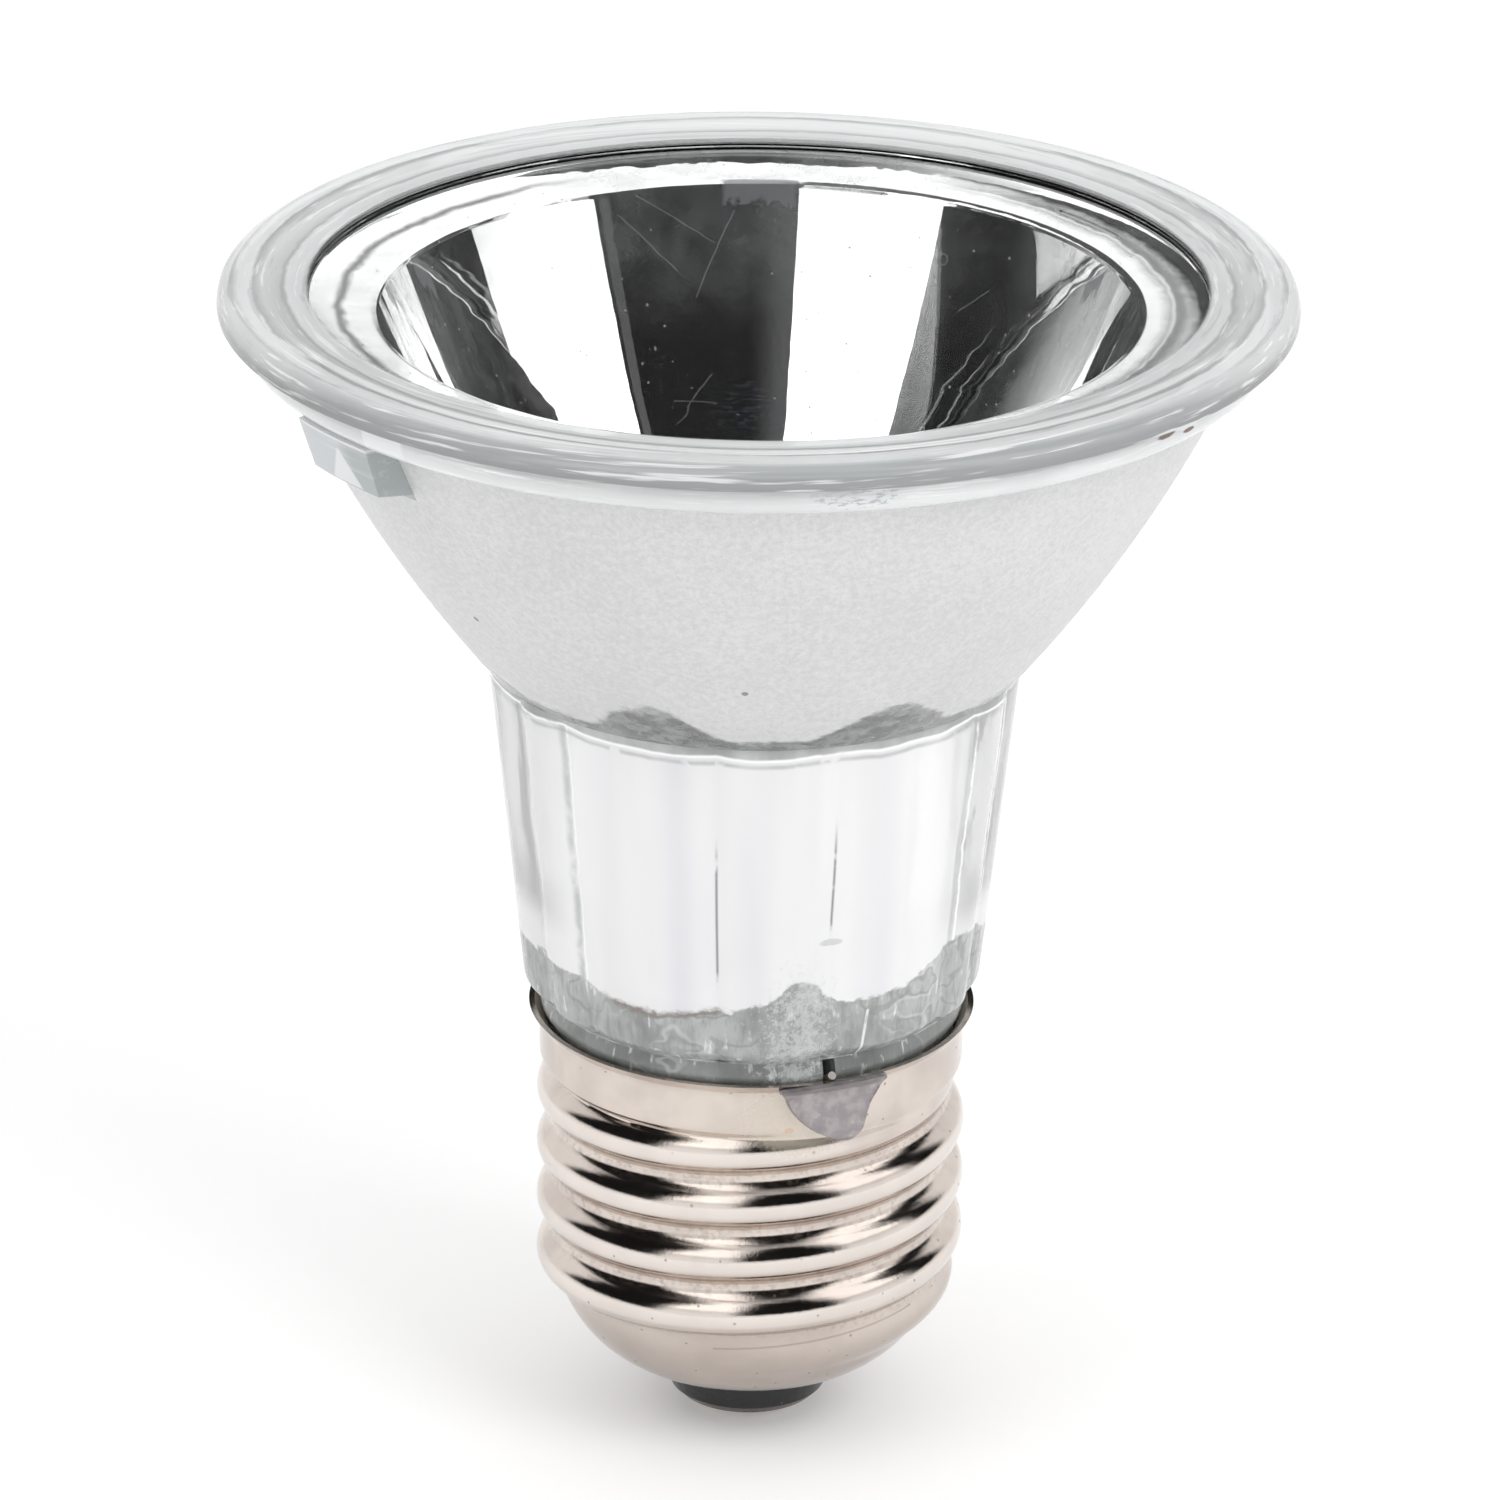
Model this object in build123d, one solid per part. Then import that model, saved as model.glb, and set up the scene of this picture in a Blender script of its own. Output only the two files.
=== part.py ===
from build123d import *
import math
import os

# Reflector heat lamp with a screw cap. Millimetres, +Z towards the lens, the lamp's axis on Z and the
# origin at the lowest point of the centre contact. The front is -Y, with +X on its right.
# A depth is counted down from the rim's widest line, and an angle from the front towards the right.

# Front lens
LENS_R = 32.3
LENS_TOP_RISE = 1.1
LENS_EDGE_ROUND = 0.9
LENS_EDGE_DROP = 0.35
LENS_RING_WIDTH = 1.5
LENS_RING_SLOPE = 0.9
LENS_RING_HEIGHT = 0.3
LENS_PLUG_R = 26.9
LENS_PLUG_LENGTH = 1.5
LENS_SEAT_GAP = 0.3

# Rim flange of the reflector
FLANGE_R = 31.3
FLANGE_FOOT_R = 31.0
FLANGE_THICKNESS = 1.95
FLANGE_ROUND = 0.45

# Mirror bowl
BOWL_TOP_R = 28.95
BOWL_FOOT_R = 16.4
BOWL_HEIGHT = 20.3
BOWL_SWELL = 0.82
LEDGE_INNER_R = 25.9
LEDGE_DROP = 0.25
MOUTH_DROP = 0.25
MOUTH_CHAMFER = 0.35
FOCAL_LENGTH = 4.4
MIRROR_HEIGHT = 29.5
THROAT_R = 11.5

# Lobed neck
NECK_TOP_R = 16.3
NECK_FOOT_R = 13.95
NECK_LENGTH = 20.9
NECK_INTO_BOWL = 1.5
NECK_GROOVE = 0.42
NECK_SIDES = 3
PANEL_ANGLES = (27.4, 37.95, 16.7, 37.95)
FIRST_GROOVE_ANGLE = -8.35
SHOULDER_HEIGHT = 0.8
SHOULDER_INSET = 0.7
NECK_BORE_FOOT_R = 10.4
FLOOR_THICKNESS = 2.8

# Glass stem that goes into the screw shell
STEM_R = 11.0
STEM_WALL = 1.8
STEM_LENGTH = 8.7

# Key lugs under the flange
LUG_COUNT = 2
LUG_ANGLE = -53.5
LUG_ARC = 13.0
LUG_HEIGHT = 3.7
LUG_TOP_R = 30.9
LUG_FOOT_R = 29.0
LUG_ROOT_R = 25.2

# Halogen capsule
CAPSULE_R = 5.75
CAPSULE_WALL = 1.0
CAPSULE_CROWN = 3.6
CAPSULE_BODY = 15.5
CAPSULE_ABOVE_FOCUS = 11.5
PINCH_NECK = 2.4
PINCH_LENGTH = 6.5
PINCH_WIDTH = 9.6
PINCH_THICKNESS = 3.0
PINCH_ROUND = 1.2
TIP_R = 1.1
TIP_LENGTH = 2.4
EMBED_GAP = 0.04

# Filament, leads, foils and pins
COIL_R = 0.8
COIL_BORE_R = 0.45
LEAD_R = 0.2
PIN_SPACING = 5.8
LEAD_RISE = 0.6
LEAD_IN_PINCH = 1.2
FOIL_WIDTH = 1.8
FOIL_THICKNESS = 0.12
FOIL_LENGTH = 3.4
PIN_R = 0.5

# Ferrules and clip plate on the neck's floor
FERRULE_R = 1.5
FERRULE_FLANGE_R = 2.2
FERRULE_FLANGE = 0.35
FERRULE_PROUD = 0.5
PIN_FIT = 0.05
CLIP_R = 9.6
CLIP_THICKNESS = 0.4
CLIP_TAB_HEIGHT = 2.8
CLIP_TAB_WIDTH = 4.0

# Screw shell
SHELL_LIP_GAP = 1.3
SHELL_LIP_R = 13.63
SHELL_LIP_LENGTH = 0.7
SKIRT_R = 13.0
SKIRT_LENGTH = 2.7
SHELL_WALL = 0.35
THREAD_NECKING = 0.6
THREAD_ROOT_R = 12.1
THREAD_CREST_R = 13.15
THREAD_PITCH = 3.629
THREAD_WIDTH = 3.1
THREAD_ROOTING = 0.2
THREAD_TURNS = 3.95
THREAD_START_ANGLE = 100
THREAD_RUNOUT = 1.2
THREAD_LENGTH = 13.3
DOME_HEIGHT = 6.55
DOME_SWELL = 1.55
SHELL_END_R = 5.3

# Black glass insulator and centre contact
INSULATOR_FIT = 0.06
INSULATOR_PROUD = 2.35
INSULATOR_TAPER = 0.45
INSULATOR_ROUND = 0.5
INSULATOR_COLLAR_R = 9.2
INSULATOR_INSIDE = 3.0
EYELET_R = 3.4
EYELET_THICKNESS = 0.45
EYELET_TUBE_R = 1.5
EYELET_BORE_R = 0.75
EYELET_TUBE_LENGTH = 2.6
CONTACT_DOME_R = 2.3
CONTACT_DOME_HEIGHT = 0.55
CONTACT_FLAT_R = 0.7

# Cement ring
CEMENT_FIT = 0.06
CEMENT_BELOW_LIP = 2.0
CEMENT_LIP = 1.5
CEMENT_LIP_R = 9.5

# Lead wires in the cap
WIRE_R = 0.25
WIRE_BEND = 1.2
WIRE_END_BEND = 0.6
WIRE_FIT = 0.1
SIDE_WIRE_ANGLE = 21.5
SIDE_WIRE_DIP = 1.5
SIDE_WIRE_RISE = 0.9
CENTRE_WIRE_DROP = 11.5
CENTRE_WIRE_SLANT = 7.0

# Side solder
SOLDER_WIDTH = 5.9
SOLDER_HEIGHT = 3.5
SOLDER_FOOT = 0.9
SOLDER_BULK = 0.95
SOLDER_LEFT_MIDDLE = 2.36
SOLDER_OVER_LIP = 0.45


# Depths that follow from the sizes above, from the rim down
joint_depth = LENS_EDGE_DROP
ledge_depth = joint_depth + LENS_PLUG_LENGTH + LENS_SEAT_GAP
flange_foot_depth = joint_depth + FLANGE_THICKNESS
mouth_depth = ledge_depth + LEDGE_DROP + MOUTH_DROP
vertex_depth = mouth_depth + MIRROR_HEIGHT
focus_depth = vertex_depth - FOCAL_LENGTH
bowl_foot_depth = flange_foot_depth + BOWL_HEIGHT
neck_foot_depth = bowl_foot_depth + NECK_LENGTH
shoulder_depth = neck_foot_depth + SHOULDER_HEIGHT
floor_depth = shoulder_depth - FLOOR_THICKNESS
stem_end_depth = shoulder_depth + STEM_LENGTH
shell_lip_depth = shoulder_depth + SHELL_LIP_GAP
skirt_end_depth = shell_lip_depth + SHELL_LIP_LENGTH + SKIRT_LENGTH
thread_top_depth = skirt_end_depth + THREAD_NECKING
dome_depth = thread_top_depth + THREAD_LENGTH
shell_end_depth = dome_depth + DOME_HEIGHT
insulator_end_depth = shell_end_depth + INSULATOR_PROUD
eyelet_face_depth = insulator_end_depth + EYELET_THICKNESS
contact_depth = eyelet_face_depth + CONTACT_DOME_HEIGHT
cement_top_depth = shell_lip_depth + CEMENT_BELOW_LIP
cement_end_depth = stem_end_depth + CEMENT_LIP
capsule_top_depth = focus_depth - CAPSULE_ABOVE_FOCUS
capsule_foot_depth = capsule_top_depth + CAPSULE_BODY
pinch_depth = capsule_foot_depth + PINCH_NECK
pinch_end_depth = pinch_depth + PINCH_LENGTH
foil_depth = pinch_depth + LEAD_IN_PINCH
pin_depth = foil_depth + FOIL_LENGTH
clip_depth = floor_depth - CLIP_THICKNESS
ferrule_end_depth = shoulder_depth + FERRULE_FLANGE + FERRULE_PROUD


def level(depth):
    """Height above the contact of a point at a depth below the rim's widest line."""
    return contact_depth - depth


def around(radius, angle, depth):
    """Point at a radius, an angle from the front and a depth."""
    turn = math.radians(angle)
    return Vector(radius * math.sin(turn), -radius * math.cos(turn), level(depth))


def chain(*points):
    """Straight edges through (radius, depth) points in order."""
    placed = [(radius, level(depth)) for radius, depth in points]
    return [Line(a, b) for a, b in zip(placed, placed[1:])]


def arc(start, middle, end):
    """Arc through three (radius, depth) points."""
    return ThreePointArc(*[(radius, level(depth)) for radius, depth in (start, middle, end)])


def rounded(top, side):
    """Quarter round from a flat top to an upright side, both given as (radius, depth)."""
    corner = (side[0], top[1])
    return Bezier(*[(radius, level(depth)) for radius, depth in (top, corner, side)])


def turned(edges):
    """Solid turned about the lamp's axis from a closed outline."""
    with BuildPart() as part:
        with BuildSketch(Plane.XZ):
            with BuildLine():
                for edge in edges:
                    add(edge)
            make_face()
        revolve(axis=Axis.Z)
    return part.part


def rod(radius, top_depth, end_depth, x=0.0):
    """Round bar parallel to the axis between two depths."""
    length = end_depth - top_depth
    return Pos(x, 0, level(end_depth) + length / 2) * Cylinder(radius, length)


def bent_wire(radius, points, bends):
    """Round wire along straight runs joined by arcs."""
    path = FilletPolyline(*points, radius=bends)
    start = Plane(origin=path @ 0, z_dir=path % 0)
    return sweep(start * Circle(radius), path=path)


def mirror_radius(depth):
    """Radius of the parabolic mirror at a depth."""
    return 2 * math.sqrt(FOCAL_LENGTH * (vertex_depth - depth))


def mirror_depth(radius, other_radius):
    """Depth of the mirror at a radius, or where the tangents at two radii meet."""
    return vertex_depth - radius * other_radius / (4 * FOCAL_LENGTH)


def front_lens():
    ring_top = -LENS_TOP_RISE
    ring_outer_r = LENS_R - LENS_EDGE_ROUND
    ring_inner_r = ring_outer_r - LENS_RING_WIDTH
    face = ring_top + LENS_RING_HEIGHT
    plug_foot = joint_depth + LENS_PLUG_LENGTH
    outline = chain((0, face), (ring_inner_r - LENS_RING_SLOPE, face), (ring_inner_r, ring_top),
                    (ring_outer_r, ring_top))
    outline += [rounded((ring_outer_r, ring_top), (LENS_R, 0))]
    outline += chain((LENS_R, 0), (LENS_R, joint_depth), (LENS_PLUG_R, joint_depth), (LENS_PLUG_R, plug_foot),
                     (0, plug_foot), (0, face))
    return turned(outline)


def bowl():
    """Flange and bowl, solid inside."""
    middle_r = (BOWL_TOP_R + BOWL_FOOT_R) / 2
    slope = math.atan2(BOWL_TOP_R - BOWL_FOOT_R, BOWL_HEIGHT)
    middle = (middle_r + BOWL_SWELL * math.cos(slope),
              flange_foot_depth + BOWL_HEIGHT / 2 + BOWL_SWELL * math.sin(slope))
    outline = chain((0, joint_depth), (FLANGE_R, joint_depth),
                    (FLANGE_FOOT_R, flange_foot_depth - FLANGE_ROUND),
                    (FLANGE_FOOT_R - FLANGE_ROUND, flange_foot_depth), (BOWL_TOP_R, flange_foot_depth))
    outline += [arc((BOWL_TOP_R, flange_foot_depth), middle, (BOWL_FOOT_R, bowl_foot_depth))]
    outline += chain((BOWL_FOOT_R, bowl_foot_depth), (0, bowl_foot_depth), (0, joint_depth))
    return turned(outline)


def lobed_section(radius, depth):
    """Section of the neck: full lobes between narrow grooves, the same pattern on each side."""
    arcs = []
    angle = FIRST_GROOVE_ANGLE
    for panel in PANEL_ANGLES * NECK_SIDES:
        start = around(radius - NECK_GROOVE, angle, depth)
        middle = around(radius, angle + panel / 2, depth)
        end = around(radius - NECK_GROOVE, angle + panel, depth)
        arcs.append(ThreePointArc(start, middle, end))
        angle += panel
    return Face(Wire(arcs))


def neck():
    """Lobed neck with its rounded-off shoulder, solid inside."""
    taper = (NECK_TOP_R - NECK_FOOT_R) / NECK_LENGTH
    top = lobed_section(NECK_TOP_R + taper * NECK_INTO_BOWL, bowl_foot_depth - NECK_INTO_BOWL)
    body = loft([top, lobed_section(NECK_FOOT_R, neck_foot_depth)], ruled=True)
    shoulder = loft([lobed_section(NECK_FOOT_R, neck_foot_depth),
                     lobed_section(NECK_FOOT_R - SHOULDER_INSET, shoulder_depth)], ruled=True)
    return body + shoulder


def key_lug(angle):
    """Wedge under the flange, cut off flat below."""
    top = flange_foot_depth - FLANGE_ROUND
    foot = flange_foot_depth + LUG_HEIGHT
    with BuildPart() as part:
        with BuildSketch(Plane.XZ):
            with BuildLine():
                for edge in chain((LUG_ROOT_R, top), (LUG_TOP_R, top), (LUG_TOP_R, flange_foot_depth),
                                  (LUG_FOOT_R, foot), (LUG_ROOT_R, foot), (LUG_ROOT_R, top)):
                    add(edge)
            make_face()
        revolve(axis=Axis.Z, revolution_arc=LUG_ARC)
    return Rot(0, 0, angle - 90 - LUG_ARC / 2) * part.part


def reflector_inside():
    """Space inside the glass: lens seat, ledge, parabolic mirror and the neck's bore."""
    seat_r = LENS_PLUG_R + LENS_SEAT_GAP
    mouth_r = mirror_radius(mouth_depth)
    throat_depth = mirror_depth(THROAT_R, THROAT_R)
    pull = ((mouth_r + THROAT_R) / 2, level(mirror_depth(mouth_r, THROAT_R)))
    outline = chain((0, 0), (seat_r, 0), (seat_r, ledge_depth), (LEDGE_INNER_R, ledge_depth),
                    (mouth_r + MOUTH_CHAMFER, ledge_depth + LEDGE_DROP), (mouth_r, mouth_depth))
    outline += [Bezier((mouth_r, level(mouth_depth)), pull, (THROAT_R, level(throat_depth)))]
    outline += chain((THROAT_R, throat_depth), (NECK_BORE_FOOT_R, floor_depth), (0, floor_depth), (0, 0))
    return turned(outline)


def reflector_body():
    glass = bowl() + neck() + rod(STEM_R, neck_foot_depth, stem_end_depth)
    for number in range(LUG_COUNT):
        glass += key_lug(LUG_ANGLE + number * 360 / LUG_COUNT)
    glass -= reflector_inside()
    glass -= rod(STEM_R - STEM_WALL, shoulder_depth, stem_end_depth)
    for side in (-1, 1):
        glass -= rod(FERRULE_R, floor_depth, shoulder_depth, side * PIN_SPACING / 2)
    return glass


def capsule_envelope():
    outline = [rounded((0, capsule_top_depth), (CAPSULE_R, capsule_top_depth + CAPSULE_CROWN))]
    outline += chain((CAPSULE_R, capsule_top_depth + CAPSULE_CROWN), (CAPSULE_R, capsule_foot_depth),
                     (0, capsule_foot_depth), (0, capsule_top_depth))
    quartz = turned(outline)
    pinch_section = RectangleRounded(PINCH_WIDTH, PINCH_THICKNESS, PINCH_ROUND)
    press = Plane(origin=(0, 0, level(pinch_depth))) * pinch_section
    foot = Plane(origin=(0, 0, level(capsule_foot_depth))) * Circle(CAPSULE_R)
    quartz += loft([foot.face(), press.face()])
    quartz += extrude(press, amount=PINCH_LENGTH, dir=(0, 0, -1))
    quartz += rod(TIP_R, capsule_top_depth - TIP_LENGTH, capsule_top_depth + CAPSULE_WALL)
    quartz -= capsule_inside()
    for side in (-1, 1):
        quartz -= rod(LEAD_R + EMBED_GAP, capsule_foot_depth - CAPSULE_WALL * 2, foil_depth,
                      side * PIN_SPACING / 2)
        quartz -= foil(side, EMBED_GAP)
        quartz -= rod(PIN_R + EMBED_GAP, pin_depth, pinch_end_depth, side * PIN_SPACING / 2)
    return quartz


def capsule_inside():
    """Gas space of the capsule."""
    top = capsule_top_depth + CAPSULE_WALL
    crown_foot = top + CAPSULE_CROWN
    inner_r = CAPSULE_R - CAPSULE_WALL
    outline = [rounded((0, top), (inner_r, crown_foot))]
    outline += chain((inner_r, crown_foot), (inner_r, capsule_foot_depth - CAPSULE_WALL),
                     (0, capsule_foot_depth), (0, top))
    return turned(outline)


def filament_coil():
    """Tungsten coil across the mirror's focus, as the sleeve that its turns fill."""
    length = PIN_SPACING - 2 * (LEAD_R + EMBED_GAP)
    sleeve = Cylinder(COIL_R, length) - Cylinder(COIL_BORE_R, length)
    return Pos(0, 0, level(focus_depth)) * Rot(0, 90, 0) * sleeve


def filament_lead(side):
    return rod(LEAD_R, focus_depth - COIL_R - LEAD_RISE, foil_depth, side * PIN_SPACING / 2)


def foil(side, gap=0.0):
    """Molybdenum foil between a lead and its pin."""
    block = Box(FOIL_WIDTH + 2 * gap, FOIL_THICKNESS + 2 * gap, FOIL_LENGTH)
    return Pos(side * PIN_SPACING / 2, 0, level(foil_depth + FOIL_LENGTH / 2)) * block


def capsule_pin(side):
    return rod(PIN_R, pin_depth, ferrule_end_depth, side * PIN_SPACING / 2)


def capsule_clip():
    """Stamped plate on the neck's floor with two tabs that grip the pinch."""
    plate = rod(CLIP_R, clip_depth, floor_depth)
    for side in (-1, 1):
        plate -= rod(FERRULE_R + PIN_FIT, clip_depth, floor_depth, side * PIN_SPACING / 2)
        tab = Box(CLIP_TAB_WIDTH, CLIP_THICKNESS, CLIP_TAB_HEIGHT)
        tab_y = side * (PINCH_THICKNESS / 2 + PIN_FIT + CLIP_THICKNESS / 2)
        plate += Pos(0, tab_y, level(clip_depth) + CLIP_TAB_HEIGHT / 2) * tab
    return plate


def ferrule(side):
    """Flanged tube sealed in the neck's floor round a pin."""
    x = side * PIN_SPACING / 2
    tube = rod(FERRULE_R, floor_depth, ferrule_end_depth, x)
    tube += rod(FERRULE_FLANGE_R, shoulder_depth, shoulder_depth + FERRULE_FLANGE, x)
    return tube - rod(PIN_R + PIN_FIT, floor_depth, ferrule_end_depth, x)


def dome_arc(inset):
    """Domed end of the shell, or its inner face at an inset."""
    start = (THREAD_ROOT_R - inset, dome_depth)
    end = (SHELL_END_R, shell_end_depth - inset)
    slope = math.atan2(THREAD_ROOT_R - SHELL_END_R, DOME_HEIGHT)
    middle = ((start[0] + end[0]) / 2 + DOME_SWELL * math.cos(slope),
              (start[1] + end[1]) / 2 + DOME_SWELL * math.sin(slope))
    return start, middle, end


def shell_form(inset, top_depth):
    """Shell turned without its thread, solid inside, drawn in by an inset."""
    start, middle, end = dome_arc(inset)
    outline = chain((0, top_depth), (SHELL_LIP_R - inset, top_depth),
                    (SKIRT_R - inset, shell_lip_depth + SHELL_LIP_LENGTH), (SKIRT_R - inset, skirt_end_depth),
                    (THREAD_ROOT_R - inset, thread_top_depth), start)
    outline += [arc(start, middle, end)]
    outline += chain(end, (0, end[1]), (0, top_depth))
    return turned(outline)


def thread_ridge(inset):
    """Rounded right-hand ridge wound round the shell, drawn in by an inset."""
    root_r = THREAD_ROOT_R - inset
    crest = (THREAD_CREST_R - THREAD_ROOT_R, 0)
    foot = (-THREAD_ROOTING, -THREAD_WIDTH / 2)
    head = (-THREAD_ROOTING, THREAD_WIDTH / 2)
    helix = Helix(THREAD_PITCH, THREAD_PITCH * THREAD_TURNS, root_r)
    with BuildSketch(Plane(origin=helix @ 0, x_dir=(1, 0, 0), z_dir=helix % 0)) as section:
        with BuildLine():
            Line(head, foot)
            ThreePointArc(foot, crest, head)
        make_face()
    ridge = sweep(section.sketch, path=helix, is_frenet=True)
    return Pos(0, 0, level(dome_depth + THREAD_RUNOUT)) * Rot(0, 0, THREAD_START_ANGLE - 90) * ridge


def screw_shell():
    """Thin rolled shell: the thread stands out as far on the outside as it is hollow on the inside."""
    metal = shell_form(0, shell_lip_depth) + thread_ridge(0)
    metal -= shell_form(SHELL_WALL, shell_lip_depth) + thread_ridge(SHELL_WALL)
    return metal - rod(SHELL_END_R, dome_depth, shell_end_depth)


def base_insulator():
    """Black glass that fills the shell's end, stands proud of it and holds the eyelet's tube."""
    top_depth = shell_end_depth - INSULATOR_INSIDE
    filling = shell_form(SHELL_WALL + INSULATOR_FIT, shell_lip_depth)
    filling &= rod(INSULATOR_COLLAR_R, top_depth, insulator_end_depth)
    body_r = SHELL_END_R - INSULATOR_FIT
    foot_r = body_r - INSULATOR_TAPER
    outline = chain((0, top_depth), (body_r, top_depth), (body_r, shell_end_depth),
                    (foot_r, insulator_end_depth - INSULATOR_ROUND),
                    (foot_r - INSULATOR_ROUND, insulator_end_depth), (0, insulator_end_depth), (0, top_depth))
    glass = filling + turned(outline)
    glass -= rod(EYELET_BORE_R, top_depth, insulator_end_depth)
    tube_top = insulator_end_depth - EYELET_TUBE_LENGTH
    return glass - rod(EYELET_TUBE_R + EMBED_GAP, tube_top, insulator_end_depth)


def contact_eyelet():
    tube_top = insulator_end_depth - EYELET_TUBE_LENGTH
    outline = chain((EYELET_BORE_R, tube_top), (EYELET_TUBE_R, tube_top),
                    (EYELET_TUBE_R, insulator_end_depth), (EYELET_R, insulator_end_depth),
                    (EYELET_R, eyelet_face_depth), (EYELET_BORE_R, eyelet_face_depth),
                    (EYELET_BORE_R, tube_top))
    return turned(outline)


def contact_solder():
    """Low dome of solder that closes the eyelet, with the small flat where it meets its socket."""
    outline = [rounded((CONTACT_FLAT_R, contact_depth), (CONTACT_DOME_R, eyelet_face_depth))]
    outline += chain((CONTACT_DOME_R, eyelet_face_depth), (0, eyelet_face_depth), (0, contact_depth),
                     (CONTACT_FLAT_R, contact_depth))
    return turned(outline)


def base_cement():
    """Ring of cement between stem and shell, with a lip under the stem's end and a slot for the side wire."""
    skirt_r = SKIRT_R - SHELL_WALL - CEMENT_FIT
    root_r = THREAD_ROOT_R - SHELL_WALL - CEMENT_FIT
    inner_r = STEM_R + CEMENT_FIT
    lip_depth = stem_end_depth + CEMENT_FIT
    outline = chain((inner_r, cement_top_depth), (skirt_r, cement_top_depth), (skirt_r, skirt_end_depth),
                    (root_r, thread_top_depth), (root_r, cement_end_depth), (CEMENT_LIP_R, cement_end_depth),
                    (CEMENT_LIP_R, lip_depth), (inner_r, lip_depth), (inner_r, cement_top_depth))
    wire = around(side_wire_radius(), SIDE_WIRE_ANGLE, cement_top_depth)
    slot = Cylinder(WIRE_R + WIRE_FIT, 2 * (cement_end_depth - cement_top_depth))
    return turned(outline) - Pos(wire.X, wire.Y, wire.Z) * slot


def side_wire_radius():
    """The side wire rises midway between the stem and the shell."""
    return (STEM_R + THREAD_ROOT_R - SHELL_WALL) / 2


def side_wire(radius):
    """Wire from the right ferrule under the stem's end and up to the shell's lip."""
    x = PIN_SPACING / 2
    dip = cement_end_depth + SIDE_WIRE_DIP
    wall_r = side_wire_radius()
    over_lip = shell_lip_depth - WIRE_R - WIRE_FIT
    points = (Vector(x, 0, level(ferrule_end_depth + WIRE_FIT)), Vector(x, 0, level(dip)),
              around(wall_r, SIDE_WIRE_ANGLE, dip),
              around(wall_r, SIDE_WIRE_ANGLE, shell_lip_depth + SIDE_WIRE_RISE),
              around(SHELL_LIP_R - WIRE_R, SIDE_WIRE_ANGLE, over_lip))
    return bent_wire(radius, points, [WIRE_BEND, WIRE_BEND, WIRE_END_BEND])


def centre_lead_wire():
    """Wire from the left ferrule down to the centre contact."""
    x = -PIN_SPACING / 2
    knee = ferrule_end_depth + CENTRE_WIRE_DROP
    points = (Vector(x, 0, level(ferrule_end_depth + WIRE_FIT)), Vector(x, 0, level(knee)),
              Vector(0, 0, level(knee + CENTRE_WIRE_SLANT)), Vector(0, 0, level(eyelet_face_depth)))
    return bent_wire(WIRE_R, points, [WIRE_BEND, WIRE_BEND])


def side_solder():
    """Blob over the shell's lip: half round on the left, straight on the right."""
    half = SOLDER_WIDTH / 2
    top = level(shell_lip_depth - SOLDER_OVER_LIP)
    foot = top - SOLDER_HEIGHT - SOLDER_OVER_LIP
    with BuildSketch(Plane.XZ) as outline:
        with BuildLine():
            Polyline((-SOLDER_FOOT, foot), (SOLDER_FOOT, foot), (half, top), (-half, top))
            ThreePointArc((-half, top), (-SOLDER_LEFT_MIDDLE, (top + foot) / 2), (-SOLDER_FOOT, foot))
        make_face()
    pad = extrude(outline.sketch, amount=SHELL_LIP_R + SOLDER_BULK)
    skin = Pos(0, 0, (top + foot) / 2) * Cylinder(SHELL_LIP_R + SOLDER_BULK - WIRE_R, 2 * SOLDER_HEIGHT)
    skin -= Pos(0, 0, (top + foot) / 2) * Cylinder(SKIRT_R, 2 * SOLDER_HEIGHT)
    blob = Rot(0, 0, SIDE_WIRE_ANGLE) * (pad & skin)
    blob -= shell_form(-EMBED_GAP, shell_lip_depth)
    blob -= thread_ridge(-EMBED_GAP)
    return blob - side_wire(WIRE_R + EMBED_GAP)


def main():
    os.makedirs("parts", exist_ok=True)
    pieces = {
        "front_lens": front_lens(),
        "reflector_body": reflector_body(),
        "capsule_envelope": capsule_envelope(),
        "filament_coil": filament_coil(),
        "capsule_clip": capsule_clip(),
        "screw_shell": screw_shell(),
        "base_insulator": base_insulator(),
        "contact_eyelet": contact_eyelet(),
        "contact_solder": contact_solder(),
        "base_cement": base_cement(),
        "side_lead_wire": side_wire(WIRE_R),
        "centre_lead_wire": centre_lead_wire(),
        "side_solder": side_solder(),
    }
    for name, side in (("left", -1), ("right", 1)):
        pieces["filament_lead_" + name] = filament_lead(side)
        pieces["foil_" + name] = foil(side)
        pieces["capsule_pin_" + name] = capsule_pin(side)
        pieces["ferrule_" + name] = ferrule(side)
    for name, piece in pieces.items():
        export_step(piece, "parts/" + name + ".step")


main()
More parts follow.
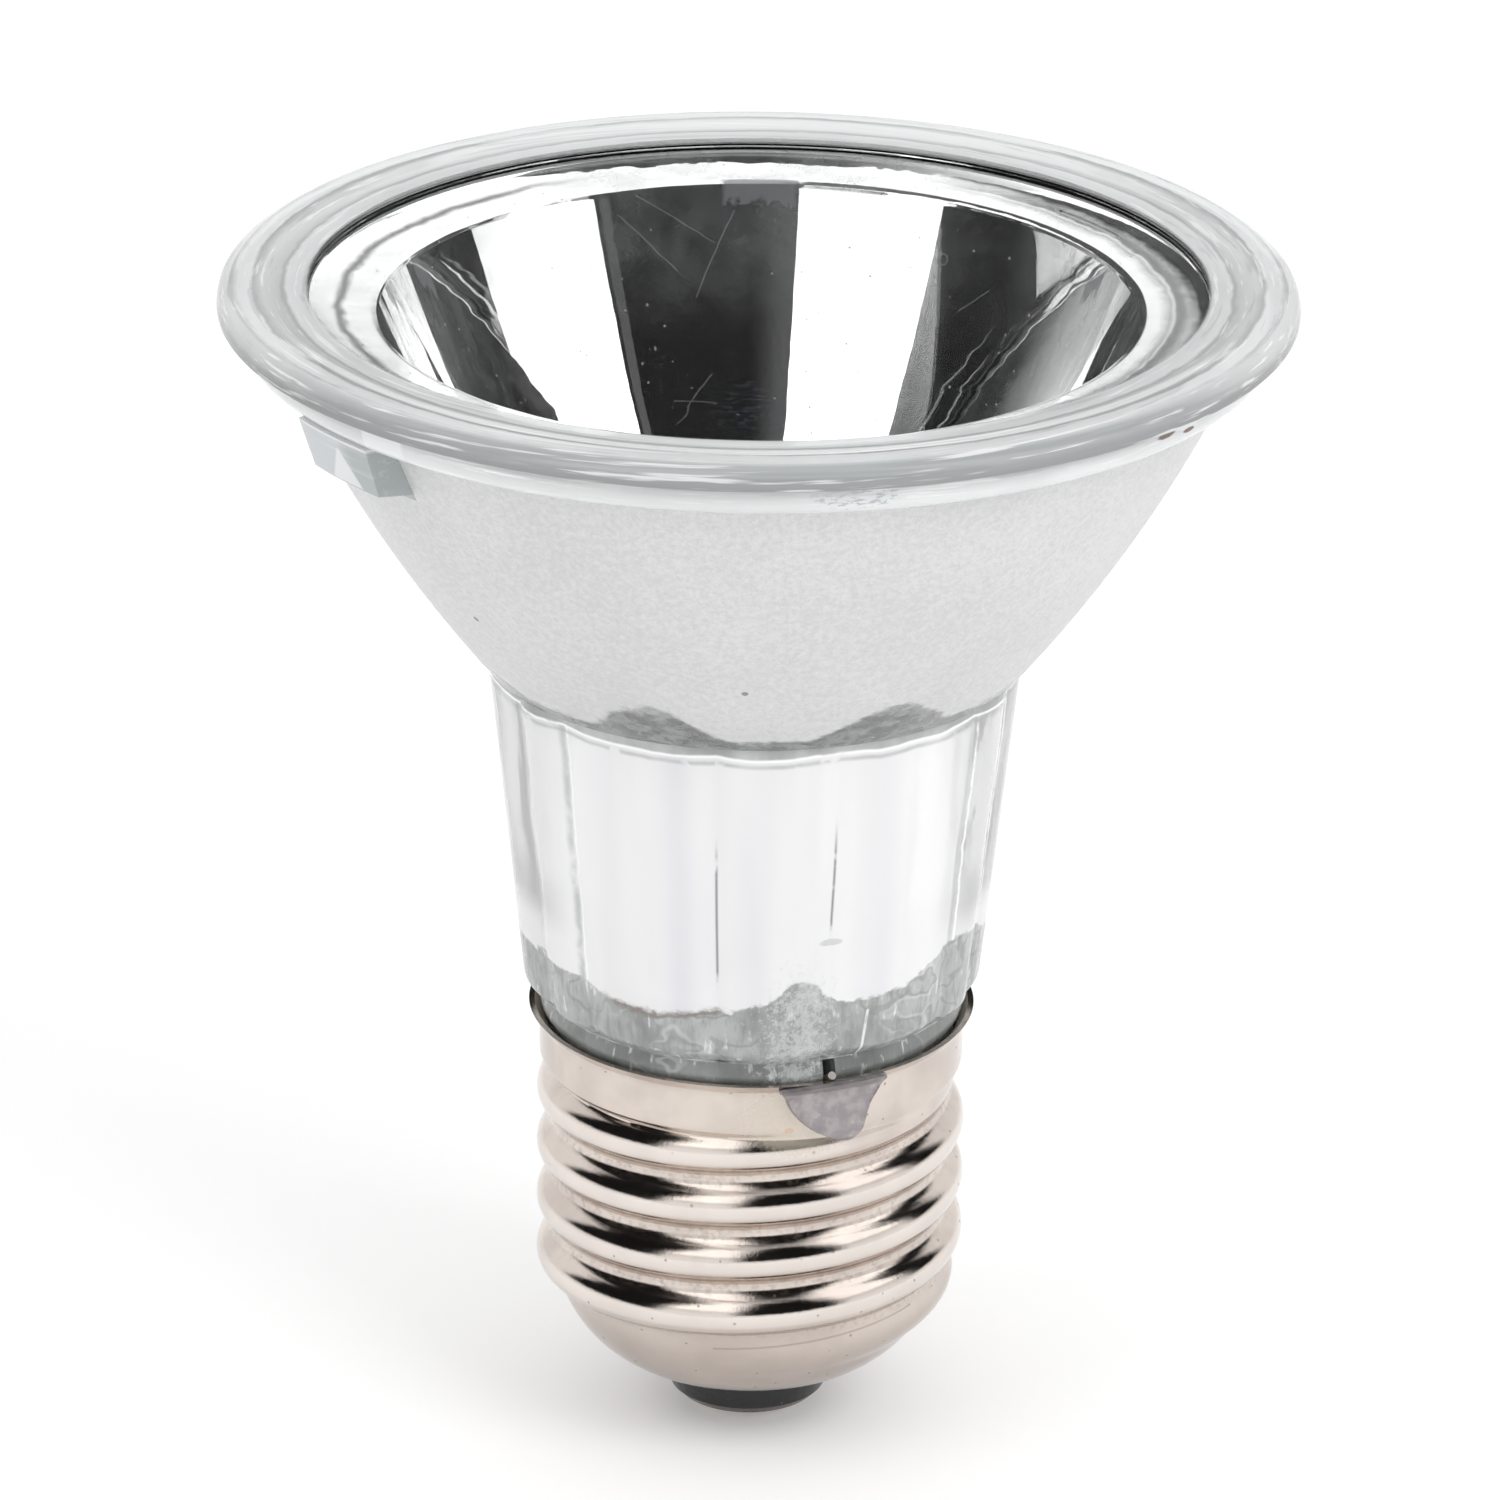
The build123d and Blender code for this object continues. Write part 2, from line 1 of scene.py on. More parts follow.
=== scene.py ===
import math
import bmesh
import bpy
import numpy as np
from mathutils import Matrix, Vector


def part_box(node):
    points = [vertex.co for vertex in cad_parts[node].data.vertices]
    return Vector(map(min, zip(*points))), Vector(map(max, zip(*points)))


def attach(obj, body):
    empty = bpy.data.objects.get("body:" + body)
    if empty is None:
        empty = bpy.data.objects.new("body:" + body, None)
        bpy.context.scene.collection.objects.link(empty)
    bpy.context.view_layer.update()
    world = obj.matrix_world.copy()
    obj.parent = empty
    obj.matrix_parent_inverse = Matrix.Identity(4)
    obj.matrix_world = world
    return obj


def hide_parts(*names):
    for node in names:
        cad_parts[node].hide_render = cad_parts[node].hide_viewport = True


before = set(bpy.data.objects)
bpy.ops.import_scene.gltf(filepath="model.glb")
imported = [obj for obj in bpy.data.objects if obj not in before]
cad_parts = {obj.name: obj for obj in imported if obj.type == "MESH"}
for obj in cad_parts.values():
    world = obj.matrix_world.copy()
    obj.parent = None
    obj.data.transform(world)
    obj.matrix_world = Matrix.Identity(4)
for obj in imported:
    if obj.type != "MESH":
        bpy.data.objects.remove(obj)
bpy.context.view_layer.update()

# Reflector body
# One piece of pressed borosilicate glass: flange, bowl, lobed neck and the stem that goes into the cap.
# Inside it is coated with aluminium down to a torn edge near the neck's floor; outside, its bowl is etched.
MM = 0.001
BOX_MARGIN = 0.01
LENS_RISE = 1.1
RIM_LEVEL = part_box("front_lens")[1].z - LENS_RISE * MM
FLANGE_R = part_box("reflector_body")[1].x / MM - BOX_MARGIN
JOINT = 0.35
SEAM = JOINT + 0.02
FLANGE_FOOT = 2.3
BOWL_TOP_R = 28.95
BOWL_FOOT_R = 16.4
BOWL_FOOT = 22.6
BOWL_SWELL = 0.82
SEAT_R = 27.2
FLANGE_EDGE = 0.12
LEDGE = 1.9
LEDGE_STATIONS = ((23.12, 2.5, 0.12), (24.4, 2.40, 0.4), (25.7, 2.20, 0.3), (26.7, 1.96, 0.2))
MOUTH = 2.65
VERTEX = 32.15
FOCAL_LENGTH = 4.4
THROAT_R = 11.5
FLOOR_R = 10.4
FLOOR = 41.5
NECK_TOP_R = 16.3
NECK_FOOT_R = 13.95
NECK_FOOT = 43.5
NECK_LEAST_R = 13.1
SHOULDER = 44.3
SHOULDER_R = 13.25
COLLAR_R = 12.5
COLLAR_FOOT = 47.2
COLLAR_BULGE_R = 13.0
COLLAR_BULGE = 45.4
STEM_R = 11.0
STEM_INNER_R = 9.2
STEM_END = 53.0
GROOVE = 0.42
GROOVE_WANDER = ((0.10, 0.9, 1.7), (0.05, 2.3, 1.0))
GROOVE_CHANGE = (0.12, 0.7, 2.1)
CROWDING = 0.35
PANELS = (27.4, 37.95, 16.7, 37.95) * 3
FIRST_GROOVE = -8.35
SECOND_GROOVE = FIRST_GROOVE + PANELS[0]
LUG_ANGLES = (-53.5, 126.5)
LUG_HALF_ARC = 6.5
LUG_SIDE = 0.15
LUG_MARGIN = 0.3
LUG_FOOT = FLANGE_FOOT + 3.2
LUG_TOP_R = 30.9
LUG_FOOT_R = 29.8
BOWL_LEAST_R_AT_LUG = 25.0
WIRE_ANGLE = 21.5
WIRE_NOTCH = 1.6
NOTCH_SIDE = 0.2
MOUTH_R = 2 * math.sqrt(FOCAL_LENGTH * (VERTEX - MOUTH))


class Tone:
    """One output of a node tree, so that shader maths reads as Python."""

    def __init__(self, tree, output):
        self.tree = tree
        self.output = output

    def node(self, kind, settings=None, inputs=None, output=0):
        """Any node: its settings first, then the values or links of its sockets."""
        made = self.tree.nodes.new(kind)
        for key, value in (settings or {}).items():
            if key == "stops":
                ramp = made.color_ramp
                while len(ramp.elements) < len(value):
                    ramp.elements.new(0.5)
                for element, (place, colour) in zip(ramp.elements, value):
                    element.position = place
                    element.color = (*colour, 1) if len(colour) == 3 else colour
            else:
                setattr(made, key, value)
        for key, value in (inputs or {}).items():
            self.join(made.inputs[key], value)
        return Tone(self.tree, made.outputs[output] if made.outputs else made)

    def join(self, socket, value):
        if isinstance(value, Tone):
            self.tree.links.new(value.output, socket)
        else:
            socket.default_value = value

    def math(self, operation, *values):
        return self.node("ShaderNodeMath", {"operation": operation}, dict(enumerate(values)))

    def __add__(self, other):
        return self.math("ADD", self, other)

    __radd__ = __add__

    def __sub__(self, other):
        return self.math("SUBTRACT", self, other)

    def __rsub__(self, other):
        return self.math("SUBTRACT", other, self)

    def __mul__(self, other):
        return self.math("MULTIPLY", self, other)

    __rmul__ = __mul__

    def __truediv__(self, other):
        return self.math("DIVIDE", self, other)

    def __pow__(self, other):
        return self.math("POWER", self, other)

    def __abs__(self):
        return self.math("ABSOLUTE", self)

    def most(self, other):
        return self.math("MAXIMUM", self, other)

    def least(self, other):
        return self.math("MINIMUM", self, other)

    def step(self, low, high):
        """0 at low and 1 at high, smooth between."""
        settings = {"interpolation_type": "SMOOTHSTEP"}
        return self.node("ShaderNodeMapRange", settings, {0: self, 1: low, 2: high, 3: 0.0, 4: 1.0})

    def hump(self, middle, half):
        """1 at the middle, falling to 0 at half a width away."""
        return abs(self - middle).step(half, 0.0)

    def humps(self, places):
        """Sum of humps, each given by its middle, half width and height."""
        return sum(self.hump(middle, half) * height for middle, half, height in places)

    def blend(self, low, high):
        """Colour from low to high as this value goes from 0 to 1."""
        return self.node("ShaderNodeMix", {"data_type": "RGBA"}, {0: self, 6: low, 7: high}, 2)

    def spread(self, stretch, shift=0.0):
        """This place in millimetres, stretched and moved, so that a pattern differs from the next one."""
        place = self.node("ShaderNodeVectorMath", {"operation": "MULTIPLY"}, {0: self, 1: stretch})
        return self.node("ShaderNodeVectorMath", {"operation": "ADD"}, {0: place, 1: (shift, shift, shift)})

    def noise(self, scale, detail=2.0, roughness=0.5, stretch=(1, 1, 1), shift=0.0):
        """Noise around 0.5 over this place, with features of 1 / scale millimetres."""
        return self.node("ShaderNodeTexNoise", None, {"Vector": self.spread(stretch, shift), "Scale": scale,
                                                      "Detail": detail, "Roughness": roughness})

    def cells(self, scale, shift=0.0):
        """Distance to the nearest of scattered points."""
        place = self.spread((1, 1, 1), shift)
        return self.node("ShaderNodeTexVoronoi", None, {"Vector": place, "Scale": scale})


def rgb(red, green, blue):
    return (red, green, blue, 1)


GLASS_TINT = rgb(0.985, 0.99, 0.99)
GLASS_IOR = 1.47


class Finish:
    """A material on its way: its place in millimetres and the shaders that go into it."""

    def __init__(self, name):
        self.material = bpy.data.materials.new(name)
        self.material.use_nodes = True
        self.tree = self.material.node_tree
        self.tree.nodes.clear()
        root = Tone(self.tree, None)
        place = root.node("ShaderNodeTexCoord", None, None, "Object")
        self.place = root.node("ShaderNodeVectorMath", {"operation": "SCALE"}, {0: place, "Scale": 1 / MM})
        split = root.node("ShaderNodeSeparateXYZ", None, {0: self.place}).output.node
        self.x, self.y, self.z = [Tone(self.tree, output) for output in split.outputs]
        self.radius = (self.x * self.x + self.y * self.y) ** 0.5
        self.depth = RIM_LEVEL / MM - self.z
        self.angle = self.x.math("ARCTAN2", self.x, self.y * -1.0) * (180 / math.pi)

    def noise(self, *measures, **more):
        return self.place.noise(*measures, **more)

    def spot(self, angle, depth, wide, high, ragged=0.0):
        """1 inside an oval round an angle and a depth, as wide in degrees and high in mm as given."""
        across = (self.angle - angle) / wide
        down = (self.depth - depth) / high
        inside = (across * across + down * down) ** 0.5
        if ragged:
            inside = inside + (self.noise(3.0, 3, 0.6) - 0.5) * ragged
        return inside.step(1.1, 0.8)

    def spots(self, places):
        """1 inside any of several ovals."""
        inside = self.spot(*places[0])
        for place in places[1:]:
            inside = inside.most(self.spot(*place))
        return inside

    def line(self, start, end, wide, mm_per_degree=0.35):
        """1 along a thin straight mark between two places, each an angle and a depth."""
        run = ((end[0] - start[0]) * mm_per_degree, end[1] - start[1])
        across = (self.angle - start[0]) * mm_per_degree
        down = self.depth - start[1]
        along = (across * run[0] + down * run[1]) / (run[0] ** 2 + run[1] ** 2)
        along = along.most(0.0).least(1.0)
        off_across = across - along * run[0]
        off_down = down - along * run[1]
        off = (off_across * off_across + off_down * off_down) ** 0.5
        return off.step(wide, wide * 0.4)

    def skin(self, colour, roughness, bump=None, **values):
        """A Principled shader; bump is (height, distance in mm, strength)."""
        if bump:
            height, distance, strength = bump
            inputs = {"Height": height, "Distance": distance * MM, "Strength": strength}
            values["Normal"] = self.place.node("ShaderNodeBump", None, inputs)
        inputs = {"Base Color": colour, "Roughness": roughness}
        inputs.update((key.replace("_", " "), value) for key, value in values.items())
        return self.place.node("ShaderNodeBsdfPrincipled", None, inputs)

    def melt(self, colour, roughness, bump=None, ior=GLASS_IOR):
        """Glass that light goes through."""
        return self.skin(colour, roughness, bump, IOR=ior, Transmission_Weight=1.0)

    def mix(self, share, first, second):
        return self.place.node("ShaderNodeMixShader", None, {0: share, 1: first, 2: second})

    def over(self, shader, *layers):
        """Layers of (share, shader), each laid over what is there before it."""
        for share, layer in layers:
            shader = self.mix(share, shader, layer)
        return shader

    def done(self, shader):
        self.place.node("ShaderNodeOutputMaterial", None, {"Surface": shader})
        return self.material


def level(depth):
    return RIM_LEVEL - depth * MM


def outline(*stations, step=0.5):
    """Rows of (radius, depth) along straight runs through (radius, depth, rounding) stations."""
    points = []
    for number, (radius, depth, rounding) in enumerate(stations):
        corner = Vector((radius, depth))
        if rounding and 0 < number < len(stations) - 1:
            before = Vector(stations[number - 1][:2]) - corner
            after = Vector(stations[number + 1][:2]) - corner
            start = corner + before.normalized() * rounding
            end = corner + after.normalized() * rounding
            for share in np.linspace(0, 1, 5):
                points.append(start * (1 - share) ** 2 + corner * 2 * share * (1 - share) + end * share ** 2)
        else:
            points.append(corner)
    rows = [points[0]]
    for before, after in zip(points, points[1:]):
        count = max(1, math.ceil((after - before).length / step))
        rows += [before.lerp(after, number / count) for number in range(1, count + 1)]
    return [tuple(row) for row in rows]


def round_angles(count):
    return np.arange(count) * 360 / count


def linked(name, data):
    """Object of this data, in the scene."""
    made = bpy.data.objects.new(name, data)
    bpy.context.scene.collection.objects.link(made)
    return made


def mesh_of(name, points, faces):
    mesh = bpy.data.meshes.new(name)
    mesh.from_pydata(points, [], faces)
    return mesh


ON_AXIS = 0.001
WELD = 0.0005


def turned(name, bands, angles, shape=None):
    """Closed piece turned from bands of rows; each band has its material, and shape may move the rows."""
    rows = [bands[0][0][0]]
    paints = []
    materials = []
    for band, material in bands:
        if material not in materials:
            materials.append(material)
        rows += band[1:]
        paints += [materials.index(material)] * (len(band) - 1)
    turn = np.radians(angles)
    points, first, sizes = [], [], []
    for radius, depth in rows:
        first.append(len(points))
        if radius < ON_AXIS:
            points.append((0, 0, level(depth)))
            sizes.append(1)
            continue
        radii = np.full(len(turn), radius)
        depths = np.full(len(turn), depth)
        if shape:
            radii, depths = shape(radii, depths, angles)
        ring = np.stack([radii * MM * np.sin(turn), -radii * MM * np.cos(turn), RIM_LEVEL - depths * MM], 1)
        points += [tuple(point) for point in ring]
        sizes.append(len(turn))
    faces, slots = [], []
    for row, paint in enumerate(paints):
        for column in range(len(turn)):
            after = (column + 1) % len(turn)
            low, high = first[row], first[row + 1]
            side = [low + column, low + after] if sizes[row] > 1 else [low]
            side += [high + after, high + column] if sizes[row + 1] > 1 else [high]
            faces.append(side)
            slots.append(paint)
    mesh = mesh_of(name, points, faces)
    for material in materials:
        mesh.materials.append(material)
    mesh.polygons.foreach_set("material_index", slots)
    return placed(name, mesh)


def placed(name, mesh, sharp=35):
    """Object of a finished mesh: doubled points joined, faces turned outward, smooth up to a sharp angle."""
    work = bmesh.new()
    work.from_mesh(mesh)
    bmesh.ops.remove_doubles(work, verts=work.verts, dist=WELD * MM)
    bmesh.ops.recalc_face_normals(work, faces=work.faces)
    work.to_mesh(mesh)
    work.free()
    mesh.shade_smooth()
    mesh.set_sharp_from_angle(angle=math.radians(sharp))
    return linked(name, mesh)


def lobe_drop(radius, angles, groove):
    """How far the neck's surface lies inside its full radius: arcs between narrow grooves."""
    drop = np.zeros(len(angles))
    start = FIRST_GROOVE
    for panel in PANELS:
        offset = (angles - start) % 360
        inside = offset < panel
        half = math.radians(panel / 2)
        foot = radius - groove[inside]
        centre = (radius ** 2 - foot ** 2) / (2 * (radius - foot * math.cos(half)))
        turn = np.radians(offset[inside]) - half
        reach = radius - centre
        drop[inside] = radius - centre * np.cos(turn) - np.sqrt(reach ** 2 - (centre * np.sin(turn)) ** 2)
        start += panel
    return drop


def neck_angles(count):
    """Columns of the body: the same number in each panel, closest at the grooves and at the lugs' sides."""
    columns = []
    start = FIRST_GROOVE
    for panel in PANELS:
        for share in np.linspace(0, 1, count, endpoint=False):
            eased = 0.5 - 0.5 * math.cos(math.pi * share)
            columns.append(start + panel * (CROWDING * eased + (1 - CROWDING) * share))
        start += panel
    for side in (-1, 1):
        for lug in LUG_ANGLES:
            columns += [lug + side * (LUG_HALF_ARC - LUG_SIDE), lug + side * (LUG_HALF_ARC + LUG_SIDE)]
        columns += [WIRE_ANGLE + side * WIRE_NOTCH, WIRE_ANGLE + side * (WIRE_NOTCH + NOTCH_SIDE)]
    return np.array(sorted(column % 360 for column in columns))


def ripple(depth, number, size, per_mm, per_groove):
    """Slow wave along one of the neck's grooves."""
    return size * np.sin(depth * per_mm + number * per_groove)


def body_shape(radii, depths, angles):
    """Uneven grooves of the neck, the lugs under the flange and the collar's notch for the side wire."""
    depth = depths[0]
    radius = radii[0]
    if radius > NECK_LEAST_R and BOWL_FOOT + 0.05 < depth < SHOULDER - 0.05:
        number = np.floor((angles + 15) / 30)
        wander = sum(ripple(depth, number, *wave) for wave in GROOVE_WANDER)
        groove = GROOVE * (1 + ripple(depth, number, *GROOVE_CHANGE))
        radii = radii - lobe_drop(radius, angles + wander, groove)
    if radius > BOWL_LEAST_R_AT_LUG and FLANGE_FOOT - 0.01 < depth < LUG_FOOT + 0.01:
        share = (depth - FLANGE_FOOT) / (LUG_FOOT - FLANGE_FOOT)
        lug_r = LUG_TOP_R + (LUG_FOOT_R - LUG_TOP_R) * share
        for lug in LUG_ANGLES:
            near = np.abs((angles - lug + 180) % 360 - 180) < LUG_HALF_ARC
            radii = np.where(near, np.maximum(radii, lug_r), radii)
    if radius > STEM_R + 0.1 and SHOULDER + 0.15 < depth:
        near = np.abs((angles - WIRE_ANGLE + 180) % 360 - 180) < WIRE_NOTCH + 0.1
        radii = np.where(near, STEM_R, radii)
    return radii, depths


def mirror_rows(count):
    """Rows of the parabola from the throat up to the mouth."""
    radii = np.linspace(THROAT_R, MOUTH_R, count)
    return [(radius, VERTEX - radius ** 2 / (4 * FOCAL_LENGTH)) for radius in radii]


def arc_rows(start, end, swell, count):
    """Rows along a shallow arc that swells out from the chord between two places."""
    start, end = Vector(start), Vector(end)
    chord = end - start
    out = Vector((chord.y, -chord.x)).normalized()
    return [tuple(start.lerp(end, share) + out * swell * 4 * share * (1 - share))
            for share in np.linspace(0, 1, count)]


RIM_LIGHT_RINGS = ((26.7, 0.36), (27.0, 0.76), (28.1, 0.82), (28.32, 0.50), (28.55, 0.64), (29.6, 0.70),
             (30.1, 0.50), (30.3, 0.88), (31.0, 0.90), (31.4, 0.68), (32.3, 0.62))
EDGE_LIGHT_BANDS = ((-0.5, 0.60), (-0.15, 0.34), (0.3, 0.30), (0.45, 0.60), (0.9, 0.66), (1.3, 0.88),
              (1.7, 0.95), (2.1, 0.88), (2.3, 0.95), (2.6, 0.72))
RIM_TOP = (-0.75, -0.35)
BLUISH = (0.975, 0.995, 1.0)
PAINTED_LIGHT_SHARE = 0.84
FRONT_EDGE_R = 31.95


def banded(measure, places):
    """Grey that follows a measure through pairs of place and tone."""
    first, last = places[0][0], places[-1][0]
    stops = [((place - first) / (last - first), [tone * part for part in BLUISH]) for place, tone in places]
    share = (measure - first) / (last - first)
    return share.node("ShaderNodeValToRGB", {"stops": stops}, {0: share})


def rim_glass_with_painted_light(name, wave):
    """Thick pressed glass at the rim, clear with slow waves, under painted light and shade: pale rings on
    top, bands down the edge, a lighter far side, a dark front edge and thin streaks of glints and dark
    reflections.
    """
    glass = Finish(name)
    clear = glass.melt(GLASS_TINT, 0.03, (glass.noise(0.16, 2, 0.5), 0.3 * wave, 0.5))
    wander = (glass.noise(0.35, 3, 0.6, shift=12) - 0.5) * 0.5
    # Painted light and shade: grey rings across the top and bands down the outer edge, on a pale skin over
    # the clear glass.
    rings = banded(glass.radius + wander, RIM_LIGHT_RINGS)
    bands = banded(glass.depth + wander * 0.5, EDGE_LIGHT_BANDS)
    tone = glass.depth.step(*RIM_TOP).blend(rings, bands)
    # Painted light: the rim is lighter on its far side and darker on its near side.
    far = glass.y.step(-20, 25).blend(rgb(0.96, 0.96, 0.96), rgb(1.08, 1.08, 1.08))
    tone = tone.node("ShaderNodeMix", {"data_type": "RGBA", "blend_type": "MULTIPLY"},
                     {0: 1.0, 6: tone, 7: far}, 2)
    cloud = glass.skin(tone, 0.12)
    patch = glass.noise(0.09, 2, 0.5, shift=2).step(0.3, 0.7)
    facing = glass.place.node("ShaderNodeNewGeometry").output.node.outputs["Backfacing"]
    outer = 1.0 - Tone(glass.tree, facing)
    around = glass.place.node("ShaderNodeCombineXYZ", None,
                              {0: glass.radius + glass.x * 0.04, 1: glass.y * 0.06, 2: glass.depth})
    streak = around.noise(2.2, 3, 0.65, shift=61)
    bright = glass.skin(rgb(0.95, 0.955, 0.955), 0.08)
    dark = glass.skin(rgb(0.30, 0.315, 0.32), 0.15)
    # Painted shade: a dark ring along the rim's front edge.
    front_edge_shade = glass.y.step(-12, -27) * glass.radius.hump(FRONT_EDGE_R, 0.75) * glass.depth.step(0.5, 0.3)
    # Painted glints and painted dark reflections lie in thin streaks over the painted rings.
    return glass, glass.over(clear,
                             ((patch * 0.16 + 0.92) * PAINTED_LIGHT_SHARE * outer, cloud),
                             (streak.step(0.42, 0.33) * glass.depth.step(1.4, 0.8) * outer * 0.3, dark),
                             ((front_edge_shade * 1.6).least(1.0) * outer * 0.7, dark),
                             (streak.step(0.56, 0.66) * outer * 0.55, bright))


SCORCH_MARKS = ((49.2, 1.05, 1.5, 0.22, 0.5), (53.4, 1.35, 1.0, 0.16, 0.5))
RIM_CRACK = (10.5, 1.2, 5.0, 0.8, 0.6)
LUG_MIDDLE = -52.6
PRISM = (2.9, 5.4)
PRISM_SLOPE = 1.15


def flange_glass():
    """The flange and its lugs, with scorch marks, a crack under the skin, a painted highlight beside the lug
    and painted light and shade on the lug's faces.
    """
    glass, shader = rim_glass_with_painted_light("flange_glass", 0.3)
    scorch = glass.skin(rgb(0.13, 0.07, 0.055), 0.5)
    crack_light = glass.skin(rgb(0.42, 0.46, 0.48), 0.15)
    crack = glass.spot(*RIM_CRACK) * glass.noise(1.6, 3, 0.7, (1, 1, 3), 9).step(0.52, 0.58)
    # Painted highlight: a light patch beside the lug.
    patch_highlight = glass.skin(rgb(0.84, 0.86, 0.865), 0.2)
    patch = glass.angle.step(-47.4, -46.8) * glass.angle.step(-40.8, -41.4)
    patch = patch * glass.depth.step(2.4, 2.2) * glass.depth.step(-0.4, -0.2)
    turn = glass.angle + (glass.angle.step(30, 40) * -180)
    # Painted light and shade: the lug's faces go from lighter to darker across it.
    lug_light_and_shade = turn.step(-53.2, -50.0).blend(rgb(0.50, 0.54, 0.56), rgb(0.31, 0.36, 0.35))
    lug = glass.skin(lug_light_and_shade, 0.12)
    # Painted highlight: a pale triangle on the lug's face.
    prism_highlight = glass.skin(rgb(0.74, 0.75, 0.77), 0.15)
    off = abs(turn - LUG_MIDDLE) - (glass.depth - PRISM[0]) * PRISM_SLOPE
    prism = off.step(0.25, -0.25) * glass.depth.step(PRISM[0], 3.1) * glass.depth.step(PRISM[1], 5.25)
    return glass.done(glass.over(shader,
                                 (crack * 0.8, crack_light),
                                 (patch * 0.7, patch_highlight),
                                 (glass.depth.step(2.4, 2.6) * 0.72, lug),
                                 (prism * 0.9, prism_highlight),
                                 (glass.spots(SCORCH_MARKS) * 0.9, scorch)))


def fused_seam():
    """The flame seal between lens and flange: one glass, with a trace of bubbles and painted light, a pale
    skin half opaque toward its inner edge.
    """
    seam = Finish("fused_seam")
    bubbles = seam.noise(1.5, 3, 0.6, shift=3).step(0.45, 0.7)
    # Painted light: the pale skin grows more opaque toward the inner edge.
    share = bubbles * 0.2 + seam.radius.step(29.4, 28.4) * 0.6 + 0.08
    return seam.done(seam.skin(rgb(0.90, 0.91, 0.91), 0.4, Alpha=share.least(0.8)))


BOWL_SPECKS = ((-1.6, 17.4, 0.6, 0.17), (-48.6, 15.2, 0.6, 0.17))
CLEAR_LEAST = 0.7
CLEAR_PEAKS = ((-20, 17, 2.6), (27, 18, 2.5))


def etched_glass():
    """Bowl outside: finely etched over its mirror, with painted shade towards the bottom and the left, clear
    again in an uneven band above the neck, where a painted dark grey stands for the shade inside.
    """
    glass = Finish("etched_bowl_glass")
    stipple = glass.noise(2.6, 4, 0.8)
    cloud = glass.noise(0.12, 3, 0.5, shift=3)
    # Painted shade: the etched milk darkens towards the bottom and towards the left.
    shaded = glass.depth.step(13, 23) * 0.27 + glass.x.step(2, -24) * 0.15
    share = (stipple * 0.8 + cloud * 0.2).step(0.36, 0.64) - shaded
    milk = glass.skin(share.blend(rgb(0.80, 0.80, 0.805), rgb(0.94, 0.94, 0.945)), 0.36, (stipple, 0.22, 1.0))
    deep = glass.melt(rgb(0.99, 0.99, 0.99), 0.5, (stipple, 0.1, 0.8))
    speck = glass.skin(rgb(0.22, 0.2, 0.19), 0.5)
    etched = glass.over(deep, (0.88, milk), (glass.spots(BOWL_SPECKS) * 0.8, speck))
    wisp = glass.noise(0.35, 4, 0.65, (1, 1, 2.5), 5)
    far = abs(glass.angle).step(50, 70) * (glass.noise(0.13, 1, 0.5, shift=8) * 4 - 1)
    height = CLEAR_LEAST + glass.angle.humps(CLEAR_PEAKS) + far.most(0.0)
    clear = (glass.depth - BOWL_FOOT + height + (wisp - 0.5) * 1.6).step(-0.25, 0.25)
    tone = glass.noise(0.9, 4, 0.7, (1, 1, 2), 6).step(0.35, 0.65)
    # Painted shade: a dark grey, mostly opaque, over the clear band for the dark inside seen through it.
    inside_shade = tone.blend(rgb(0.19, 0.20, 0.20), rgb(0.42, 0.43, 0.43))
    polished = glass.skin(inside_shade, 0.12, (stipple, 0.06, 0.5))
    window = glass.melt(GLASS_TINT, 0.08, (stipple, 0.05, 0.5))
    return glass.done(glass.mix(clear, etched, glass.mix(0.6, window, polished)))


LONG_SCRATCH = ((-163, 16.0), (-171, 13.4))
SCRATCHES = (((-163, 14.8), (-171.6, 15.0)), ((-160.3, 3.0), (-172.5, 6.0)), ((-157, 4.0), (-166, 7.5)),
             ((-176, 4.2), (-169, 9.0)), ((146, 12.0), (151, 8.5)), ((158, 15.0), (152, 16.4)),
             ((-150, 6.0), (-153, 9.5)), ((138, 7.0), (143, 8.5)))
RING_MARK = (148.4, 5.9)
COAT_END = 41.1


